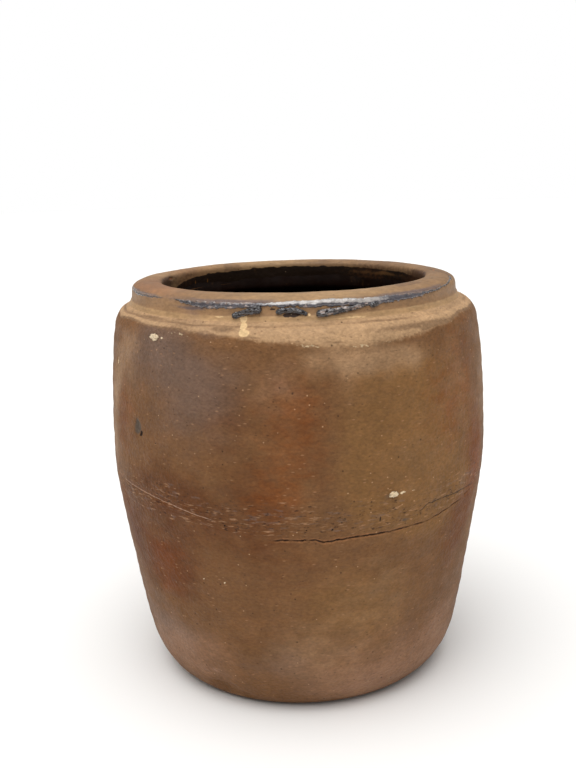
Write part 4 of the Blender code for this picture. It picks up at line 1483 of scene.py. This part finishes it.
    def run(self, run: Run, rings: int = 90, sides: int = 36) -> bpy.types.Object:
        """Build a run as a rounded profile carried along its path, half sunk into the collar.

        The path is a smooth curve through the places, the half thickness falls to 0 at both ends as a quarter of a
        circle, and slow lumps swell it.

        Args:
            run: the run's places and half thicknesses.
            rings: points along it.
            sides: points around it.

        Returns:
            The run.
        """
        profile = self.skin.form.outside()
        share = np.linspace(0.0, 1.0, len(run.places))
        at = 0.5 - 0.5 * np.cos(np.linspace(0.0, np.pi, rings + 2))
        turns, stations = (np.interp(at, share, values) for values in
                           ([a for a, _ in run.places], [profile.station(h) for _, h in run.places]))
        soften = np.exp(-0.5 * (np.arange(-12, 13) / 5.0) ** 2)
        soften /= soften.sum()
        turns, stations = (np.convolve(np.pad(v, 12, "edge"), soften, "valid") for v in (turns, stations))
        half = np.interp(at, share, run.halves)
        centre = self.lifted(np.radians(turns), stations, 0.35 * half, profile)
        outward = self.lifted(np.radians(turns), stations, 0.35 * half + 1.0, profile) - centre
        length = np.concatenate([[0.0], np.cumsum(np.linalg.norm(np.diff(centre, axis=0), axis=1))])
        to_end = np.minimum(length, length[-1] - length)
        cap = np.sqrt(np.clip(1.0 - (1.0 - np.minimum(to_end / half, 1.0)) ** 2, 0.0, 1.0))
        along = np.gradient(centre, axis=0)
        along /= np.linalg.norm(along, axis=1, keepdims=True)
        outward -= (outward * along).sum(1, keepdims=True) * along
        outward /= np.linalg.norm(outward, axis=1, keepdims=True)
        sideways = np.cross(along, outward)
        phi = (np.arange(sides) / sides * 2 * np.pi)[None, :]
        lumps = 1.0 + 0.28 * Grain(run.seed, 3.0, octaves=3).at(phi + 0.0 * half[:, None], length[:, None] + 0.0 * phi)
        reach = (half * cap)[:, None] * lumps
        grid = (centre[:, None, :] + (reach * np.cos(phi) * run.squash)[..., None] * outward[:, None, :]
                + (reach * np.sin(phi))[..., None] * sideways[:, None, :])
        piece = solid(run.name, grid[1:-1], wrap_rows=False, tips=(centre[0], centre[-1]), crease=80.0)
        # The run's upper side gets a painted highlight and a painted grey sheen, standing in for the overhead light's
        # reflection.
        top = smooth(np.cos(phi - np.radians(-60.0)), 0.55, 0.95) + 0.0 * reach
        top = top[1:-1]
        paint(piece, {"painted_highlight": 0.7 * run.bright * top, "steel_and_sheen": 0.4 * top, "crust": run.bright + 0.0 * top})
        return seat(piece, run.name, self.glaze)

    def build(self) -> None:
        """Build the collar and all the glaze on it."""
        self.collar()
        for ribbon in self.ribbons:
            self.ribbon(ribbon)
        for run in self.runs:
            self.run(run)


@dataclass(frozen=True)
class Lining:
    """The dark glaze inside: a thin cup, bare in places under the lip."""

    form: JarForm
    glaze: bpy.types.Material
    columns: int = 520
    rows: int = 176
    thick: float = 1.0  # mm

    def edge(self, azimuth: Array) -> Array:
        """Height in mm where the glaze has thinned to nothing, below the lip."""
        return np.minimum(Throat().edge(azimuth) - 0.5, 326.0)

    def thickness(self, azimuth: Array, station: Array, height: Array) -> Array:
        """Add rings from the wheel and fat tears that ran down, and end in nothing above the edge.

        Args:
            azimuth: azimuths in radians.
            station: stations in mm.
            height: heights in mm.

        Returns:
            The thickness in mm.
        """
        rings = 0.42 * np.sin(2 * np.pi * station / 15.0 + 0.9 * Grain(102, 90.0, 2.0).at(azimuth, station))
        rings = rings * smooth(height, 24.0, 60.0) * (1 - smooth(height, 292.0, 306.0))
        spiral = 0.35 * np.sin(2 * np.pi * station / 11.0 + azimuth) * (1 - smooth(station, 80.0, 110.0))
        lumps = 0.22 * Grain(103, 22.0, 1.4, 3).at(azimuth, station)
        tears = 0.35 * smooth(Grain(104, 90.0, 0.10, 2).at(azimuth, station), 0.15, 0.8)
        body = self.thick + rings + spiral + lumps + tears * smooth(height, 150.0, 260.0)
        ending = smooth(self.edge(azimuth) - height, -0.6, 16.0)
        return np.where(height > 200.0, (body + 0.8) * ending - 0.8, body)

    def build(self) -> bpy.types.Object:
        """Build the lining from its hidden back and its face.

        Returns:
            The lining.
        """
        profile = self.form.inside()
        azimuth = (np.arange(self.columns) / self.columns * 2 * np.pi)[None, :]
        share = np.linspace(0.0, 1.0, self.rows)[:, None]
        stations = 4.0 + (profile.total - 4.0) * (1.0 - (1.0 - share) ** 1.35) + 0.0 * azimuth
        radius, height, out_r, out_z = profile.at(stations)
        inwards = self.thickness(azimuth, stations, height)
        face_r, face_z = radius - out_r * inwards, height - out_z * inwards
        face = np.stack([face_r * np.cos(azimuth) + self.form.off_axis(face_z), face_r * np.sin(azimuth), face_z], -1)
        some = np.concatenate([np.arange(0, self.rows - 1, 12), [self.rows - 1]])
        behind = 0.25 + 1.2 * smooth(height[some], 300.0, 318.0)
        back_r, back_z = radius[some] + behind * out_r[some], height[some] + behind * out_z[some]
        back = np.stack([back_r * np.cos(azimuth) + self.form.off_axis(back_z), back_r * np.sin(azimuth), back_z], -1)
        tips = (np.array([0.0, 0.0, 16.35]), np.array([0.0, 0.0, float(face_z[0].mean())]))
        piece = solid("liner_glaze", np.concatenate([back, face[::-1]]), wrap_rows=False, tips=tips, crease=70.0)
        masks = Throat().masks(azimuth, height)
        masks["bare"] = 1.0 - masks.pop("throat")
        masks["drawn"] = (1.0 - smooth(inwards, 0.5, 1.5)) * (1.0 - smooth(height, 290.0, 305.0))
        hidden = np.zeros((len(some), self.columns))
        paint(piece, {name: np.concatenate([hidden, values[::-1]]) for name, values in masks.items()})
        return seat(piece, "liner_glaze", self.glaze)


@dataclass(frozen=True)
class LimeGrain:
    """A grain of burnt lime in its pocket: a lumpy pebble, flat towards the wall."""

    name: str
    azimuth: float
    height: float
    size: tuple[float, float, float]  # mm: around, out, up
    seed: int

    def build(self, skin: Skin, finish: bpy.types.Material) -> bpy.types.Object:
        """Build the pebble: an ellipsoid whose radius is uneven, with its middle just under the wall's surface.

        Args:
            skin: the wall that it sits in.
            finish: its material.

        Returns:
            The pebble.
        """
        profile = skin.form.outside()
        theta = np.radians(np.linspace(4.0, 176.0, 40))[:, None]
        phi = (np.arange(64) / 64 * 2 * np.pi)[None, :]
        uneven = 1.0 + 0.40 * Grain(self.seed, 9.0, 5.0, 3).at(phi, np.degrees(theta) * 0.5)
        around, out, up = self.size
        side = uneven * np.sin(theta) * np.sin(phi) * around / 2
        depth = uneven * np.sin(theta) * np.cos(phi) * out / 2
        rise = -uneven * np.cos(theta) * up / 2 + 0.0 * phi
        radius, height, out_r, out_z = (float(v) for v in profile.at(np.array(profile.station(self.height))))
        turn = np.radians(self.azimuth)
        out_axis = np.array([np.cos(turn) * out_r, np.sin(turn) * out_r, out_z])
        side_axis = np.array([-np.sin(turn), np.cos(turn), 0.0])
        up_axis = np.cross(out_axis, side_axis)
        middle = np.array([radius * np.cos(turn), radius * np.sin(turn), height]) - 0.9 * out_axis
        grid = (middle + side[..., None] * side_axis + depth[..., None] * out_axis + rise[..., None] * up_axis)
        tips = (middle - up_axis * up / 2, middle + up_axis * up / 2)
        return seat(solid(self.name, grid, wrap_rows=False, tips=tips, crease=80.0), self.name, finish)


@dataclass(frozen=True)
class Studio:
    """A pale floor under broad soft light, and the camera in front of the jar, a little above its rim."""

    floor_radius: float = 9.0  # m
    spot: tuple[float, float, float] = (0.0, -0.8206, 0.4291)  # m
    yaw: float = -0.5615  # degrees, to the left of +Y
    pitch: float = 12.9626  # degrees down
    roll: float = -1.5674  # degrees
    lens: float = 45.43  # mm, on a frame 36 mm tall

    def floor(self) -> None:
        """Lay the floor: a wide flat ring of quads and a fan in its middle."""
        turn = np.arange(96) / 96 * 2 * np.pi
        reach = np.array([0.3, 1.0, 3.0, self.floor_radius])[:, None]
        grid = np.stack([reach * np.cos(turn), reach * np.sin(turn), 0.0 * reach * turn], -1).reshape(-1, 3)
        index = np.arange(4 * 96).reshape(4, 96)
        quads = np.stack([index[:-1], index[1:], np.roll(index[1:], -1, 1), np.roll(index[:-1], -1, 1)], -1)
        faces = quads.reshape(-1, 4).tolist() + [index[0].tolist()]
        mesh = bpy.data.meshes.new("studio_floor")
        mesh.from_pydata(grid.tolist(), [], faces)
        mesh.materials.append(FLOOR_BOARD.build())
        board = bpy.data.objects.new("studio_floor", mesh)
        bpy.context.scene.collection.objects.link(board)

    def lamp(self, strength: float, spread: float, at: tuple[float, float, float]) -> None:
        """Hang a broad, far soft light that looks at the middle of the jar.

        Args:
            strength: watts on each square metre that faces it.
            spread: angle in degrees that it fills in the sky.
            at: the way to it, from the jar.
        """
        light = bpy.data.lights.new("soft_light", "SUN")
        light.energy, light.angle = strength, np.radians(spread)
        lamp = bpy.data.objects.new("soft_light", light)
        lamp.rotation_euler = Vector(at).to_track_quat("Z", "Y").to_euler()
        bpy.context.scene.collection.objects.link(lamp)

    def sky(self) -> None:
        """Wrap the scene in a plain room: dim at the sides, dimmer in front, brighter overhead, white to look at."""
        world = bpy.data.worlds.new("white_room")
        world.use_nodes = True
        tree = world.node_tree
        tree.nodes.clear()
        way = add(tree, "TexCoord", out="Generated")
        front = add(tree, "SeparateXYZ", {0: way}, "Y")
        above = add(tree, "SeparateXYZ", {0: way}, "Z")
        room = add(tree, "Math", {0: front, 1: 0.12, 2: 0.30}, operation="MULTIPLY_ADD")
        room = add(tree, "MapRange", {0: above, 1: 0.1, 2: 1.0, 3: room, 4: 0.85}, interpolation_type="SMOOTHSTEP")
        seen = add(tree, "LightPath", out="Is Camera Ray")
        room = add(tree, "Math", {0: room, 1: seen}, operation="MAXIMUM")
        glow = add(tree, "Background", {"Color": (1.0, 1.0, 1.0, 1.0), "Strength": room})
        add(tree, "OutputWorld", {"Surface": glow}, None)
        bpy.context.scene.world = world

    def camera(self) -> None:
        """Stand the camera: forward from yaw and pitch, then rolled about its own line of sight."""
        yaw, pitch, roll = (np.radians(a) for a in (self.yaw, self.pitch, self.roll))
        forward = np.array([np.sin(yaw) * np.cos(pitch), np.cos(yaw) * np.cos(pitch), -np.sin(pitch)])
        right = np.array([np.cos(yaw), -np.sin(yaw), 0.0])
        upward = np.cross(right, forward)
        across = np.cos(roll) * right + np.sin(roll) * upward
        above = -np.sin(roll) * right + np.cos(roll) * upward
        turned = Matrix(np.column_stack([across, above, -forward]).tolist()).to_4x4()
        eye = bpy.data.cameras.new("camera")
        eye.lens, eye.sensor_width, eye.clip_end = self.lens, 36.0, 100.0
        stand = bpy.data.objects.new("camera", eye)
        stand.matrix_world = Matrix.Translation(self.spot) @ turned
        bpy.context.scene.collection.objects.link(stand)
        bpy.context.scene.camera = stand

    def build(self) -> None:
        """Set up the floor, the light and the camera."""
        self.floor()
        self.sky()
        self.lamp(2.3, 60.0, (-0.12, -0.30, 1.0))
        self.camera()
        bpy.context.scene.view_settings.view_transform = "Standard"


def main() -> None:
    """Build the jar piece by piece, then the studio around it."""
    logging.basicConfig(level=logging.INFO, format="%(name)s: %(message)s")
    form, skin, firing = JarForm(), Skin(), Firing()
    Walls(skin, firing, WALL_CLAY.build(), JOINT_SLIP.build()).build()
    Rim(skin, firing, RIM_CLAY.build(), RUN_GLAZE.build()).build()
    Lining(form, LINING_GLAZE.build()).build()
    lime = BURNT_LIME.build()
    for grain in (LimeGrain("lime_grain_shoulder", -134.5, 303.6, (8.6, 3.0, 4.4), 111),
                  LimeGrain("lime_grain_belly", -64.2, 187.5, (6.0, 2.6, 3.6), 112)):
        grain.build(skin, lime)
    Studio().build()


if __name__ == "__main__":
    main()
